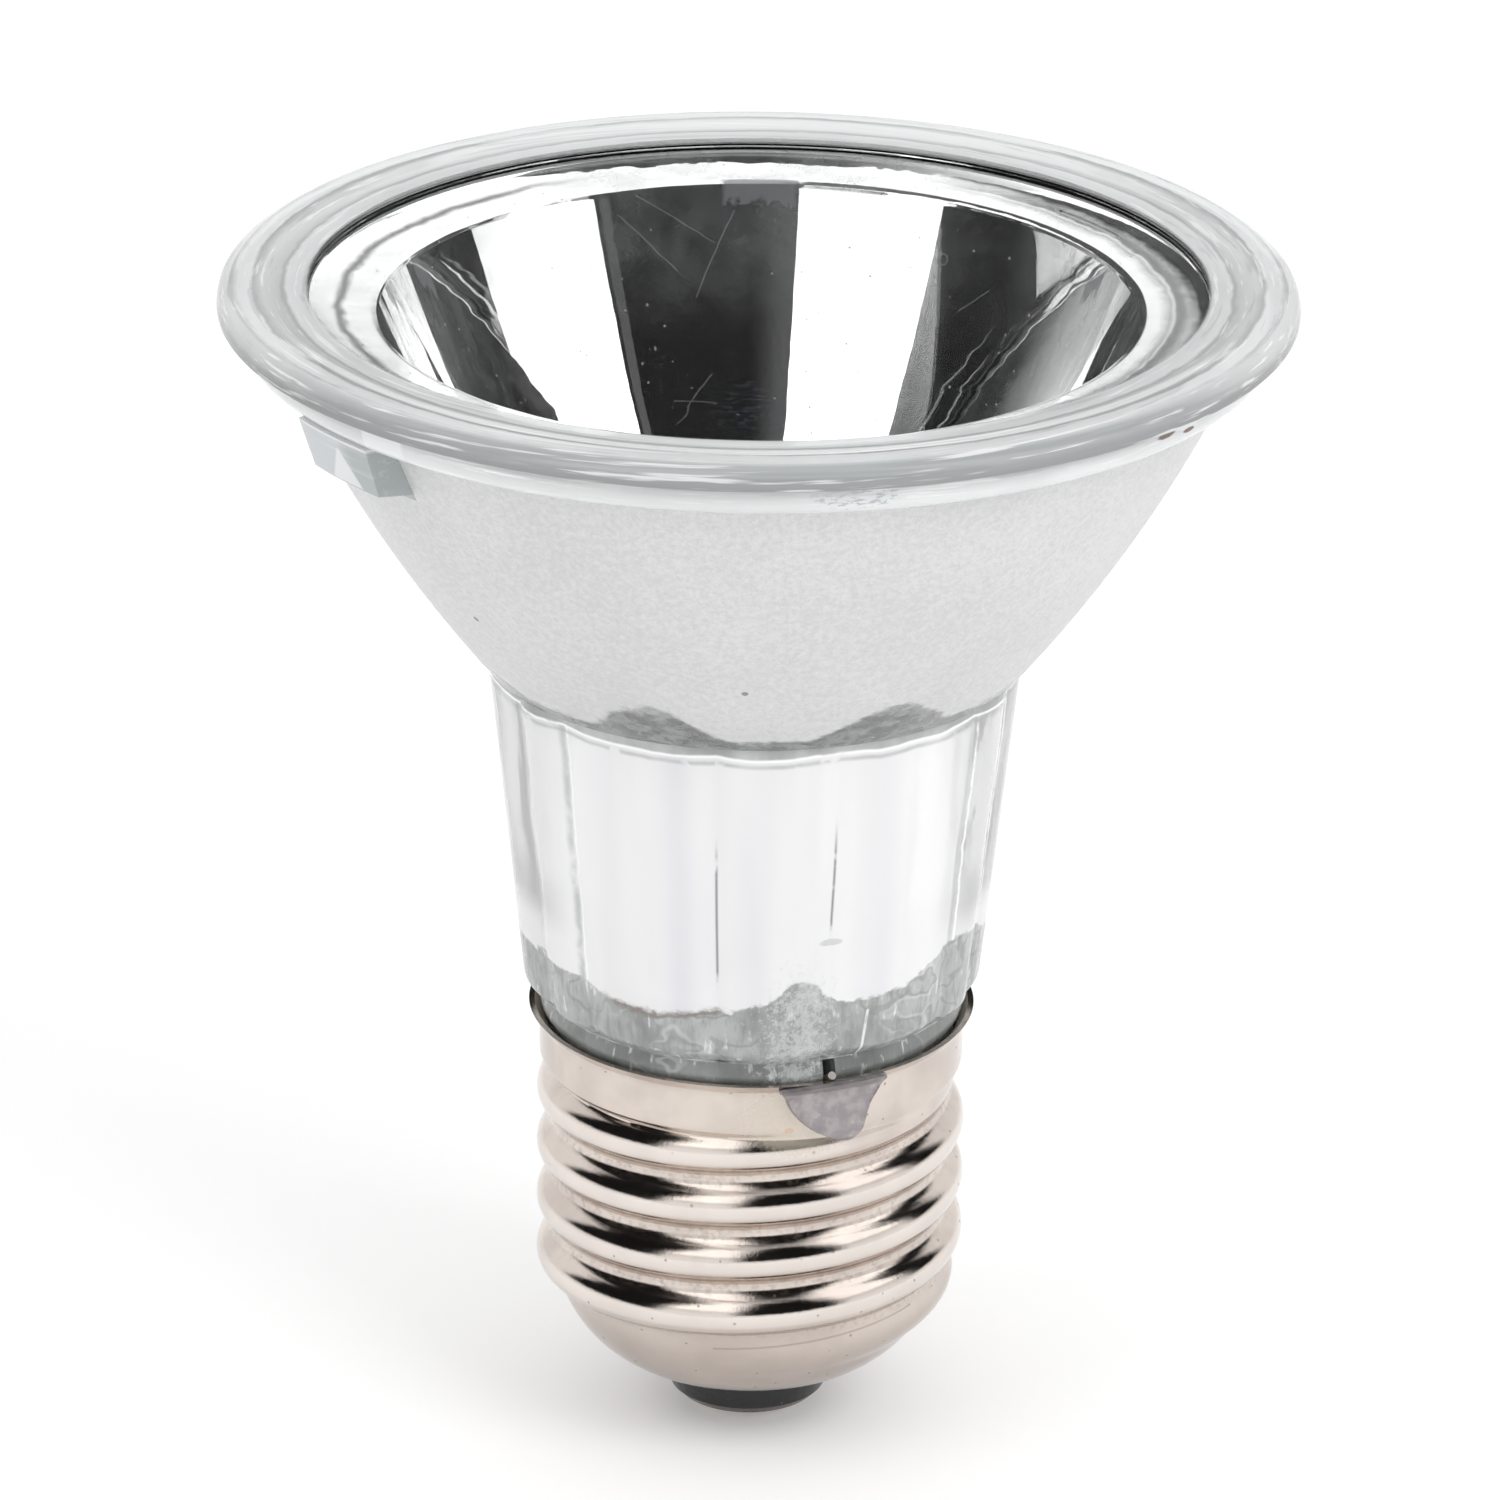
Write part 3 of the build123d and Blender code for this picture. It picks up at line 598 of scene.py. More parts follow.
def mirror_coat():
    """Bright aluminium, hazed with dust near the mouth, specked, scratched and torn off near the floor, with
    painted dark reflections on the ledge at its sides.
    """
    coat = Finish("aluminium_mirror_coat")
    specks = coat.place.cells(0.85).step(0.085, 0.05)
    fine = coat.place.cells(2.2, 5).step(0.09, 0.05)
    smear = coat.noise(0.7, 5, 0.75, (1, 1, 0.35), 4)
    cloud = coat.noise(0.3, 4, 0.6, shift=21).step(0.35, 0.65)
    behind = 180 - abs(coat.angle)
    haze = coat.depth.step(12.0, 5.0) * (cloud * 0.6 + 0.4) * (behind.step(40, 20) * 0.2 + 0.12)
    haze = haze + smear.step(0.55, 0.75) * 0.04
    ledge_wave = coat.noise(0.22, 3, 0.55, shift=41) * coat.depth.step(2.9, 2.6)
    metal = coat.skin(rgb(0.95, 0.95, 0.95), 0.02, (ledge_wave, 0.25, 0.3), Metallic=1.0)
    dusty = coat.skin(rgb(0.78, 0.79, 0.80), 0.7)
    lines = coat.line(*LONG_SCRATCH, 0.07)
    for start, end in SCRATCHES:
        lines = lines.most(coat.line(start, end, 0.06))
    across = (coat.angle - RING_MARK[0]) * 0.36
    down = coat.depth - RING_MARK[1]
    lines = lines.most(((across * across + down * down) ** 0.5).hump(0.3, 0.12))
    dust = (haze + specks * 0.8 + fine * 0.3 + lines * 0.28).least(0.9)
    lip_chip = coat.skin(rgb(0.55, 0.56, 0.57), 0.3)
    ragged = (coat.noise(1.4, 3, 0.6, shift=31) - 0.5) * 2.4
    chip = behind.step(6.5, 5.0) * (coat.depth + ragged).step(3.9, 3.5) * coat.radius.step(23.25, 23.1)
    # Painted dark reflection: a thin dark line on the ledge at the left and a wider dark band at the right.
    dark_reflection = coat.skin(rgb(0.07, 0.07, 0.07), 0.06, Metallic=1.0)
    wander = coat.radius + (cloud - 0.5) * 0.25
    left_line = wander.hump(25.0, 0.5) * coat.x.step(-9, -17)
    right_band = wander.hump(25.05, 1.35) * coat.x.step(8, 19) * (1 - wander.hump(24.7, 0.22) * 0.5)
    blue = coat.skin(rgb(0.16, 0.19, 0.36), 0.5)
    streak = coat.noise(1.2, 4, 0.7, (1, 1, 5), 51).step(0.52, 0.6)
    bright = coat.over(metal,
                       (dust, dusty),
                       (chip * 0.8, lip_chip),
                       (left_line.most(right_band) * coat.depth.step(2.7, 2.55) * 0.85, dark_reflection),
                       (behind.step(12.0, 4.0) * coat.depth.hump(15.5, 3.0) * streak * 0.3, blue))
    tear = coat.noise(0.35, 4, 0.6, (1, 1, 0.4), 11)
    missing = (coat.depth + (tear - 0.5) * 0.6).step(COAT_END, COAT_END + 0.1)
    return coat.done(coat.mix(missing, bright, coat.melt(GLASS_TINT, 0.02)))


GROOVES = (-63.0, -46.3, 57.0, 73.7, 111.65, 128.35, -100.95, -128.35, 139.05, 177.0, -166.3)
CREASE = BOWL_FOOT + 0.75
LIGHT_COLUMNS = ((-17, 6, 0.8), (2, 8, 0.7), (30, 9, 0.8))
GROOVE_SHADE_LINES = ((FIRST_GROOVE, (28.5, 31.5), (39.2, 37.8)), (SECOND_GROOVE, (27.5, 30.5), (35.8, 34.6)))
TORN_EDGE = 40.1
TORN_DIPS = ((-25, 30, -0.9), (12, 12, 1.6), (62, 30, 1.8))
BLISTER = (19.1, 36.05, 3.0, 0.24, 0.3)
GLINT_LINE = ((29.6, 41.0), (28.4, 44.4), 0.12, 0.24)


def neck_glass():
    """Clear glass over the mirror coat, with painted sheen over it and painted shade and glints at the
    grooves, and streaked grey-green glass below the coat's torn edge.
    """
    glass = Finish("neck_glass")
    waves = glass.noise(0.35, 3, 0.5, (1, 1, 0.35))
    pits = glass.noise(3.5, 2, 0.6, shift=7)
    clear = glass.melt(rgb(0.985, 0.985, 0.992), 0.015, (waves * 0.9 + pits * 0.1, 0.12, 0.6))
    # Painted sheen: a pale lilac-white skin over most of each panel, lighter in soft columns, stands in for
    # the light seen in the mirror behind the glass.
    lilac = glass.noise(0.2, 2, 0.5, (1, 1, 0.1), 13).step(0.3, 0.7) * 0.6
    column = (lilac + 0.5 - glass.angle.humps(LIGHT_COLUMNS) * 0.5).most(0.0).least(1.0)
    painted_sheen = glass.skin(column.blend(rgb(0.765, 0.765, 0.80), rgb(0.90, 0.90, 0.90)), 0.16)
    side = abs(glass.x).step(10.5, 13.5)
    panel = glass.mix(0.9 - side * (glass.depth.step(36.0, 38.5) * -0.35 + 0.45), clear, painted_sheen)
    shade = glass.skin(rgb(0.46, 0.475, 0.48), 0.15)
    glint = glass.skin(rgb(0.96, 0.96, 0.96), 0.1)
    for number, groove in enumerate(GROOVES):
        weave = glass.noise(0.5, 2, 0.6, (0.01, 0.01, 1), 60 + number) - 0.5
        turn = glass.angle - groove + weave * 1.6
        strength = glass.noise(0.4, 3, 0.7, shift=70 + number).step(0.25, 0.6)
        panel = glass.over(panel, (turn.hump(-0.3, 1.7) * strength * 0.8, shade),
                           (turn.hump(1.3, 0.6) * strength * 0.9, glint))
    # Painted shade: thin dark lines down the lower part of the two front grooves, broken in places.
    groove_shade = [glass.angle.hump(groove, 0.55) * glass.depth.step(*top) * glass.depth.step(*foot)
              for groove, top, foot in GROOVE_SHADE_LINES]
    broken = glass.noise(0.8, 2, 0.5, shift=17).step(0.3, 0.45)
    groove_shade_dark = glass.skin(rgb(0.16, 0.17, 0.17), 0.3)
    panel = glass.mix(groove_shade[0].most(groove_shade[1]) * broken * 0.85, panel, groove_shade_dark)
    ragged = (glass.noise(0.7, 5, 0.65, (1, 1, 1.6), 19) - 0.5) * 1.5
    edge = glass.depth - (TORN_EDGE - glass.angle.humps(TORN_DIPS)) + ragged
    streak = glass.noise(0.55, 4, 0.6, (1, 1, 0.3), 23)
    curl = glass.noise(0.22, 3, 0.6, (1, 1, 0.8), 25)
    swirl = glass.noise(0.30, 2, 0.5, (1, 1, 1.3), 27)
    contour = abs(swirl - 0.5).step(0.03, 0.005) * glass.angle.hump(-24, 16).most(glass.angle.hump(44, 16))
    dark_contour = abs(swirl - 0.455).step(0.035, 0.008)
    tone = (streak * 0.35 + curl * 0.65).step(0.34, 0.62)
    pale = tone.blend(rgb(0.30, 0.32, 0.312), rgb(0.58, 0.60, 0.59))
    deep = tone.blend(rgb(0.20, 0.215, 0.21), rgb(0.36, 0.375, 0.365))
    # Painted shade: the band is darker below the shoulder, where the collar sits inside the shell's lip.
    green = glass.depth.step(SHOULDER - 0.2, SHOULDER + 0.3).blend(pale, deep)
    grey = glass.skin(green, 0.15, (streak * 0.5 + curl * 0.5, 0.8, 0.6))
    view = glass.melt(rgb(0.93, 0.96, 0.95), 0.05, (streak, 0.5, 0.7))
    pale_curl_and_glint = glass.skin(rgb(0.86, 0.88, 0.88), 0.1)
    curl_dark = glass.skin(rgb(0.20, 0.20, 0.195), 0.2)
    vein = glass.noise(1.6, 3, 0.6, (1, 1, 0.25), 35)
    foot_line = glass.depth.hump(SHOULDER + 0.02, 0.16) * streak.step(0.3, 0.5)
    band = glass.over(view,
                      (0.74, grey),
                      (vein.step(0.5, 0.34) * 0.4, curl_dark),
                      (vein.step(0.58, 0.7) * 0.6, pale_curl_and_glint),
                      (dark_contour * curl.step(0.4, 0.6) * 0.4, curl_dark),
                      ((contour * curl.step(0.35, 0.55)).least(1.0) * 0.22, pale_curl_and_glint),
                      # Painted glint: a thin pale line in the band; the same pale colour also draws the
                      # band's curls and the line at the shoulder.
                      (glass.line(*GLINT_LINE) * vein.step(0.3, 0.5) * 0.8, pale_curl_and_glint),
                      (foot_line * 0.75, pale_curl_and_glint))
    burnt = glass.skin(rgb(0.20, 0.17, 0.155), 0.4)
    rim_line = edge.hump(0.1, 0.42) * glass.angle.hump(-22, 20).step(0.0, 0.3)
    fade = glass.angle.hump(12, 19) * glass.depth.step(34.5, 40.0)
    fleck = glass.noise(2.6, 5, 0.8, shift=29) + fade * 0.22
    flecked = glass.skin(rgb(0.62, 0.64, 0.645), 0.4)
    crease_light = glass.skin(rgb(0.97, 0.97, 0.97), 0.1)
    under = glass.skin(tone.blend(rgb(0.27, 0.28, 0.28), rgb(0.48, 0.49, 0.49)), 0.2)
    sagged = glass.depth + (glass.noise(0.22, 2, 0.5, shift=33) - 0.5) * 0.7
    return glass.done(glass.over(panel,
                                 (edge.step(-0.1, 0.15), band),
                                 (fleck.step(0.66, 0.72) * 0.45, flecked),
                                 # Painted reflection: grey bands above and just below the crease; painted
                                 # highlight: a pale line along the crease.
                                 (sagged.step(CREASE + 0.05, CREASE - 0.1) * 0.85, under),
                                 (sagged.hump(CREASE + 0.4, 0.25) * broken * 0.6, under),
                                 (sagged.hump(CREASE, 0.17) * (broken * 0.4 + 0.55), crease_light),
                                 (glass.spot(*BLISTER) * 0.6, grey),
                                 (rim_line * 0.8, burnt)))


MIRROR_ROWS = 50
BOWL_ROWS = 50
PANEL_COLUMNS = 22
coat = mirror_coat()
flange = flange_glass()
seam = fused_seam()
neck = neck_glass()
body = turned("reflector_glass", [
    (outline((0, FLOOR, 0), (FLOOR_R, FLOOR, 0.4), (THROAT_R, VERTEX - THROAT_R ** 2 / (4 * FOCAL_LENGTH), 0),
             step=0.8), coat),
    (mirror_rows(MIRROR_ROWS), coat),
    (outline((MOUTH_R, MOUTH, 0), *LEDGE_STATIONS, (SEAT_R, LEDGE, 0), step=0.2), coat),
    (outline((SEAT_R, LEDGE, 0), (SEAT_R, SEAM, 0)), flange),
    (outline((SEAT_R, SEAM, 0), (FLANGE_R - FLANGE_EDGE, SEAM, 0)), seam),
    (outline((FLANGE_R - FLANGE_EDGE, SEAM, 0), (FLANGE_R, JOINT + 0.14, 0.05),
             (FLANGE_R - 0.3, FLANGE_FOOT - 0.45, 0.2), (FLANGE_R - 0.75, FLANGE_FOOT, 0.2),
             (BOWL_TOP_R, FLANGE_FOOT, 0), step=0.2), flange),
    (arc_rows((BOWL_TOP_R, FLANGE_FOOT), (BOWL_FOOT_R, BOWL_FOOT), BOWL_SWELL, BOWL_ROWS), etched_glass()),
    (outline((BOWL_FOOT_R, BOWL_FOOT, 0), (NECK_TOP_R - 0.1, BOWL_FOOT + 0.1, 0.05),
             (NECK_FOOT_R, NECK_FOOT, 0.3), (SHOULDER_R, SHOULDER - 0.1, 0.1),
             (COLLAR_R + 0.2, SHOULDER + 0.1, 0.15), (COLLAR_BULGE_R, COLLAR_BULGE, 0.3),
             (COLLAR_R, COLLAR_BULGE + 0.9, 0.3), (COLLAR_R, COLLAR_FOOT, 0.2),
             (STEM_R, COLLAR_FOOT + 0.2, 0), step=0.33), neck),
    (outline((STEM_R, COLLAR_FOOT + 0.2, 0), (STEM_R, STEM_END, 0.2), (STEM_INNER_R, STEM_END, 0.2),
             (STEM_INNER_R, SHOULDER, 0), (0, SHOULDER, 0), step=1.5), neck),
], neck_angles(PANEL_COLUMNS), body_shape)
for face in body.data.polygons:
    across, towards = face.center.x / MM, -face.center.y / MM
    depth = (RIM_LEVEL - face.center.z) / MM
    turn = math.degrees(math.atan2(across, towards))
    off_lug = min(abs((turn - lug + 180) % 360 - 180) for lug in LUG_ANGLES) - LUG_HALF_ARC
    outside_bowl = math.hypot(across, towards) > BOWL_TOP_R - depth * 0.5
    if off_lug < LUG_MARGIN and FLANGE_FOOT < depth < LUG_FOOT + 2 * LUG_MARGIN and outside_bowl:
        face.material_index = body.data.materials.find(flange.name)
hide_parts("reflector_body")
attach(body, "root")

# Front lens
# A clear pressed disc with a raised rim, sealed on the flange by flame.
# Its plug sits in the body's seat, just above the mirrored ledge.
LENS_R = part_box("front_lens")[1].x / MM - BOX_MARGIN
LENS_FACE = -0.8
LENS_FACE_R = 28.6
LENS_RING_R = 29.9
PLUG_R = 26.9
PLUG_FOOT = JOINT + 1.5


LENS_CLEAR_R = 26.75
LENS_CHIPS = ((-90.5, 0.05, 0.35, 0.25, 0.6), (-88.6, -0.3, 0.4, 0.15, 0.6), (86.5, 0.1, 0.5, 0.3, 0.6))
LENS_COLUMNS = 360


def lens_glass():
    """Clear over the mirror, with painted light and shade at its thick rim, and a chip on either side."""
    glass, shader = rim_glass_with_painted_light("lens_glass", 0.1)
    clear = glass.melt(GLASS_TINT, 0.0, (glass.noise(0.12, 2, 0.5), 0.04, 0.4))
    shader = glass.mix(glass.radius.step(LENS_CLEAR_R, LENS_CLEAR_R + 0.3), clear, shader)
    break_face = glass.skin(rgb(0.35, 0.34, 0.34), 0.3)
    return glass.done(glass.mix(glass.spots(LENS_CHIPS) * 0.8, shader, break_face))


clear_lens = lens_glass()
lens = turned("lens_disc", [
    (outline((0, LENS_FACE, 0), (LENS_FACE_R, LENS_FACE, 0.5), (LENS_RING_R, -LENS_RISE, 0.35),
             (LENS_R - 0.9, -LENS_RISE, 0.25), (LENS_R - 0.15, -0.62, 0.3), (LENS_R, 0, 0.15),
             (LENS_R, JOINT, 0.1), (FLANGE_R - FLANGE_EDGE, JOINT, 0), step=0.5), clear_lens),
    (outline((FLANGE_R - FLANGE_EDGE, JOINT, 0), (SEAT_R, JOINT, 0)), seam),
    (outline((SEAT_R, JOINT, 0), (PLUG_R, JOINT, 0.1), (PLUG_R, PLUG_FOOT, 0.15), (0, PLUG_FOOT, 0),
             step=0.7), clear_lens),
], round_angles(LENS_COLUMNS))
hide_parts("front_lens")
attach(lens, "root")

# Halogen capsule
# A small quartz bulb pinched shut over two molybdenum foils, with a tungsten coil across the mirror's focus.
# Its drawn leads hold the coil, and its two pins go down through the neck's floor.
COIL_R = 0.8
COIL_WIRE_R = 0.11
COIL_TURNS = 15
FOCUS = VERTEX - FOCAL_LENGTH
LEAD_X = 2.9
COIL_SIDES = 24
COIL_END = 0.35
QUARTZ_IOR = 1.46


def paint(node, material):
    """Give a solid that stays as it is its own finish."""
    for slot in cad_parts[node].material_slots:
        slot.material = material


def quartz():
    """Fused quartz with draw lines and a smoky bloom along them."""
    glass = Finish("fused_quartz")
    lines = glass.noise(1.2, 3, 0.5, (1, 1, 0.2))
    clear = glass.melt(rgb(0.99, 0.99, 0.99), 0.01, (lines, 0.05, 0.5), QUARTZ_IOR)
    bloom = glass.skin(rgb(0.80, 0.80, 0.80), 0.5)
    return glass.done(glass.mix(lines.step(0.5, 0.8) * 0.15, clear, bloom))


def drawn_metal(name, dark, light, roughness, grain_scale=6.0, stretch=(1, 1, 0.15)):
    """Drawn or rolled metal with grain along it."""
    metal = Finish(name)
    grain = metal.noise(grain_scale, 4, 0.6, stretch)
    colour = grain.step(0.35, 0.65).blend(dark, light)
    return metal.done(metal.skin(colour, grain * 0.2 + roughness, (grain, 0.02, 0.4), Metallic=1.0))


def wire(name, path, radius):
    """Round wire along a path of places in millimetres across, towards the front and down."""
    curve = bpy.data.curves.new(name, "CURVE")
    curve.dimensions = "3D"
    curve.bevel_depth = radius * MM
    curve.bevel_resolution = 3
    curve.use_fill_caps = True
    spline = curve.splines.new("POLY")
    spline.points.add(len(path) - 1)
    for point, (across, towards, depth) in zip(spline.points, path):
        point.co = (across * MM, -towards * MM, level(depth), 1)
    bare = linked(name + "_path", curve)
    mesh = bpy.data.meshes.new_from_object(bare)
    bpy.data.objects.remove(bare)
    return placed(name, mesh)


def coil_path():
    """The coil's helix, drawn in to the axis at both ends, where the leads grip it."""
    steps = COIL_TURNS * COIL_SIDES
    path = [(-LEAD_X, 0, FOCUS)]
    for number in range(steps + 1):
        share = number / steps
        along = (share * 2 - 1) * (LEAD_X - COIL_END)
        reach = (COIL_R - COIL_WIRE_R) * min(1, 12 * share, 12 * (1 - share))
        turn = 2 * math.pi * number / COIL_SIDES
        path.append((along, reach * math.cos(turn), FOCUS + reach * math.sin(turn)))
    return path + [(LEAD_X, 0, FOCUS)]


tungsten = drawn_metal("drawn_tungsten", rgb(0.22, 0.22, 0.23), rgb(0.42, 0.42, 0.43), 0.3)
coil = wire("filament_helix", coil_path(), COIL_WIRE_R)
coil.data.materials.append(tungsten)
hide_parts("filament_coil")
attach(coil, "root")
foil_metal = drawn_metal("rolled_molybdenum", rgb(0.50, 0.49, 0.48), rgb(0.72, 0.71, 0.70), 0.35, 4.0)
pin_metal = drawn_metal("molybdenum_rod", rgb(0.50, 0.50, 0.50), rgb(0.66, 0.66, 0.66), 0.25)
paint("capsule_envelope", quartz())
for side in ("left", "right"):
    paint("filament_lead_" + side, tungsten)
    paint("foil_" + side, foil_metal)
    paint("capsule_pin_" + side, pin_metal)

# Clip plate and ferrules
# A stamped spring-steel plate lies on the neck's floor and grips the capsule's pinch with two tabs.
# Flanged tubes sealed in the glass pass the pins through it and are crimped on them below.
clip_steel = drawn_metal("stamped_spring_steel", rgb(0.60, 0.59, 0.57), rgb(0.78, 0.77, 0.75), 0.22, 2.0,
                         (1, 0.15, 1))
ferrule_metal = drawn_metal("plated_tube", rgb(0.66, 0.61, 0.55), rgb(0.80, 0.76, 0.70), 0.25)
paint("capsule_clip", clip_steel)
paint("ferrule_left", ferrule_metal)
paint("ferrule_right", ferrule_metal)

# Screw shell
# Thin brass, drawn to a cup, rolled to a thread and plated with satin nickel.
# The thread fades out on the domed end, and a plain skirt and a flared lip hold the glass.
LIP = 45.6
FLARE = 0.7
LIP_R = 13.63
SKIRT_R = 13.0
SKIRT_END = 49.0
ROOT_R = 12.1
THREAD_RISE = 1.05
PITCH = 3.629
CREST_ARC = 1.3
ROOT_ARC = 0.793
THREAD_TOP = 49.6
DOME = 62.9
DOME_SWELL = 1.55
DOME_ROWS = 34
SHELL_END_R = 5.3
SHELL_END = 69.45
SHELL_WALL = 0.35
CREST_AT_FRONT = 50.5
THREAD_LAPS = 6


def smooth(low, high, value):
    share = np.clip((value - low) / (high - low), 0, 1)
    return share * share * (3 - 2 * share)


def thread_section(offset):
    """Height of one rolled ridge at an offset from its crest: a round crest between hollow flanks."""
    away = np.abs(offset)
    crest = THREAD_RISE - CREST_ARC + np.sqrt(np.clip(CREST_ARC ** 2 - away ** 2, 0, None))
    root = ROOT_ARC - np.sqrt(np.clip(ROOT_ARC ** 2 - np.clip(PITCH / 2 - away, 0, None) ** 2, 0, None))
    meet = CREST_ARC * PITCH / 2 / (CREST_ARC + ROOT_ARC)
    return np.where(away < meet, crest, np.where(away < PITCH / 2, root, 0))


def ridge(depth, angles):
    """Height of the thread over the root at a depth, fading in below the skirt and out on the dome."""
    turns = (depth - CREST_AT_FRONT) / PITCH + angles / 360
    height = np.zeros(len(angles))
    for lap in range(-1, THREAD_LAPS):
        along = lap - angles / 360
        fade = smooth(-0.45, 0.0, along) * (1 - smooth(3.55, 4.15, along))
        height = np.maximum(height, thread_section((turns - lap) * PITCH) * fade)
    return height


def shell_rows(inset):
    """Rows of the shell from its lip to its open end, drawn in by an inset."""
    rows = outline((LIP_R - inset, LIP, 0), (SKIRT_R - inset, LIP + FLARE, 0.3),
                   (SKIRT_R - inset, SKIRT_END, 0.4), (ROOT_R - inset, THREAD_TOP, 0.3),
                   (ROOT_R - inset, DOME, 0), step=0.2)
    dome = arc_rows((ROOT_R - inset, DOME), (SHELL_END_R, SHELL_END - inset), DOME_SWELL, DOME_ROWS)
    return rows + dome[1:]


def thread(depth, angles):
    """Height of the thread over the shell's own rows, which starts below the skirt."""
    return ridge(depth, angles) * smooth(SKIRT_END - 0.4, THREAD_TOP + 0.3, depth)


def shell_shape(radii, depths, angles):
    return radii + thread(depths[0], angles), depths


CREST_HIGHLIGHT_R = (12.95, 13.12)
FLUX_STAIN = (13.5, 48.2, 15.0, 2.3, 0.5)
AMBER_DROP = (10.4, 48.8, 1.2, 0.22, 0.6)
DOME_CREASE = ((55, 63.0), (-10, 63.9), 0.1, 0.21)
SHELL_COLUMNS = 288


def nickel():
    """Satin plate, cloudy and finely pitted, with painted highlights on the crests, painted shade on the
    dome, and dried flux beside the solder.
    """
    metal = Finish("satin_nickel_plate")
    grain = metal.noise(7, 4, 0.7)
    cloud = metal.noise(0.25, 3, 0.5, shift=5)
    orange_peel = metal.noise(1.3, 3, 0.6, (1, 1, 1.6), 8)
    pits = metal.place.cells(0.8, 3).step(0.10, 0.06)
    colour = cloud.step(0.35, 0.65).blend(rgb(0.59, 0.52, 0.475), rgb(0.68, 0.605, 0.55))
    # Painted highlight: the thread's crests are lighter.
    crest = metal.radius.step(*CREST_HIGHLIGHT_R) * metal.depth.step(49.8, 50.4)
    colour = (crest * 0.5).blend(colour, rgb(0.84, 0.79, 0.75))
    # Painted shade: the dome grows darker towards its end.
    colour = (metal.depth.step(61.5, 66.0) * 0.55).blend(colour, rgb(0.34, 0.29, 0.26))
    plate = metal.skin(colour, orange_peel * 0.08 + cloud * 0.05 + 0.04,
                       (grain * 0.5 + orange_peel * 0.5, 0.035, 0.4), Metallic=1.0)
    grime = metal.skin(rgb(0.20, 0.15, 0.12), 0.6)
    low = metal.radius.step(12.5, 12.1) * metal.depth.step(49.2, 50.0) * metal.depth.step(63.2, 62.6)
    low = low * metal.noise(2, 4, 0.7).step(0.45, 0.7)
    ragged = metal.noise(0.8, 3, 0.6, shift=12)
    film = metal.angle.step(-22, -16) * metal.angle.step(33, 30) * (metal.depth + ragged).step(50.4, 50.1)
    film = film * (metal.depth - metal.angle * 0.09 + ragged * 0.8).step(46.0, 46.6)
    resin = metal.skin(rgb(0.72, 0.64, 0.53), 0.16, Coat_Weight=0.6, Coat_Roughness=0.05)
    amber = metal.spot(*AMBER_DROP).blend(rgb(0.61, 0.55, 0.44), rgb(0.60, 0.33, 0.07))
    flux = metal.skin(amber, 0.22)
    return metal.done(metal.over(plate,
                                 ((pits * 0.5 + low * 0.3).least(1.0), grime),
                                 (film * 0.22, resin),
                                 (metal.line(*DOME_CREASE) * 0.35, grime),
                                 (metal.spot(*FLUX_STAIN) * (ragged * 0.5 + 0.1).least(0.7), flux)))


def bare_brass():
    """The shell's inside: brass left bare, with soot on it."""
    metal = Finish("sooted_brass")
    soot = metal.noise(1.1, 4, 0.6)
    colour = soot.blend(rgb(0.38, 0.33, 0.29), rgb(0.66, 0.59, 0.52))
    return metal.done(metal.skin(colour, 0.6, (soot, 0.05, 0.4), Metallic=0.1))


plate = nickel()
outside = shell_rows(0)
inside = list(reversed(shell_rows(SHELL_WALL)))
shell = turned("screw_cap_shell", [
    (outside, plate),
    (outline((*outside[-1], 0), (*inside[0], 0)), plate),
    (inside, bare_brass()),
    (outline((*inside[-1], 0), (*outside[0], 0)), plate),
], round_angles(SHELL_COLUMNS), shell_shape)
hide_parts("screw_shell")
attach(shell, "root")

# Black glass and centre contact
# Black glass is melted into the shell's open end and stands proud of it.
# It holds the centre contact's eyelet, which is closed by a low dome of solder.


def black_glass():
    """Black glass, fire-polished with fine pits, dust and a brownish rim at its foot."""
    glass = Finish("black_glass")
    pits = glass.noise(2.2, 4, 0.7)
    dust = glass.place.cells(1.3, 4).step(0.12, 0.06)
    colour = glass.depth.step(71.0, 71.7).blend(rgb(0.012, 0.012, 0.014), rgb(0.05, 0.035, 0.03))
    black = glass.skin(colour, pits * 0.25 + 0.1, (pits, 0.08, 0.6))
    grey = glass.skin(rgb(0.30, 0.29, 0.28), 0.7)
    return glass.done(glass.mix(dust * 0.5, black, grey))


def soft_solder(name, light, dark):
    """Soft solder frozen in waves, dull with small bright spots."""
    metal = Finish(name)
    waves = metal.noise(0.9, 3, 0.6, shift=6)
    spots = metal.noise(2.4, 2, 0.5, shift=16).step(0.62, 0.72)
    colour = waves.step(0.35, 0.65).blend(dark, light)
    dull = metal.skin(colour, 0.38, (waves, 0.3, 0.6), Metallic=0.75)
    bright = metal.skin(rgb(0.86, 0.85, 0.86), 0.15, Metallic=1.0)
    return metal.done(metal.mix(spots * 0.12, dull, bright))


paint("base_insulator", black_glass())
paint("contact_eyelet", drawn_metal("eyelet_plate", rgb(0.62, 0.56, 0.49), rgb(0.76, 0.70, 0.63), 0.2, 3.0,
                                    (1, 1, 1)))
paint("contact_solder", soft_solder("contact_solder", rgb(0.58, 0.57, 0.57), rgb(0.42, 0.41, 0.42)))

# Cement and lead wires
# A ring of cream cement holds the stem in the shell.
# Nickel wires go from the ferrules to the lip's solder and to the centre contact.


def cream_cement():
    putty = Finish("cream_cement")
    grain = putty.noise(1.5, 5, 0.7)
    colour = grain.step(0.3, 0.7).blend(rgb(0.62, 0.57, 0.48), rgb(0.80, 0.76, 0.67))
    return putty.done(putty.skin(colour, 0.9, (grain, 0.3, 0.8)))


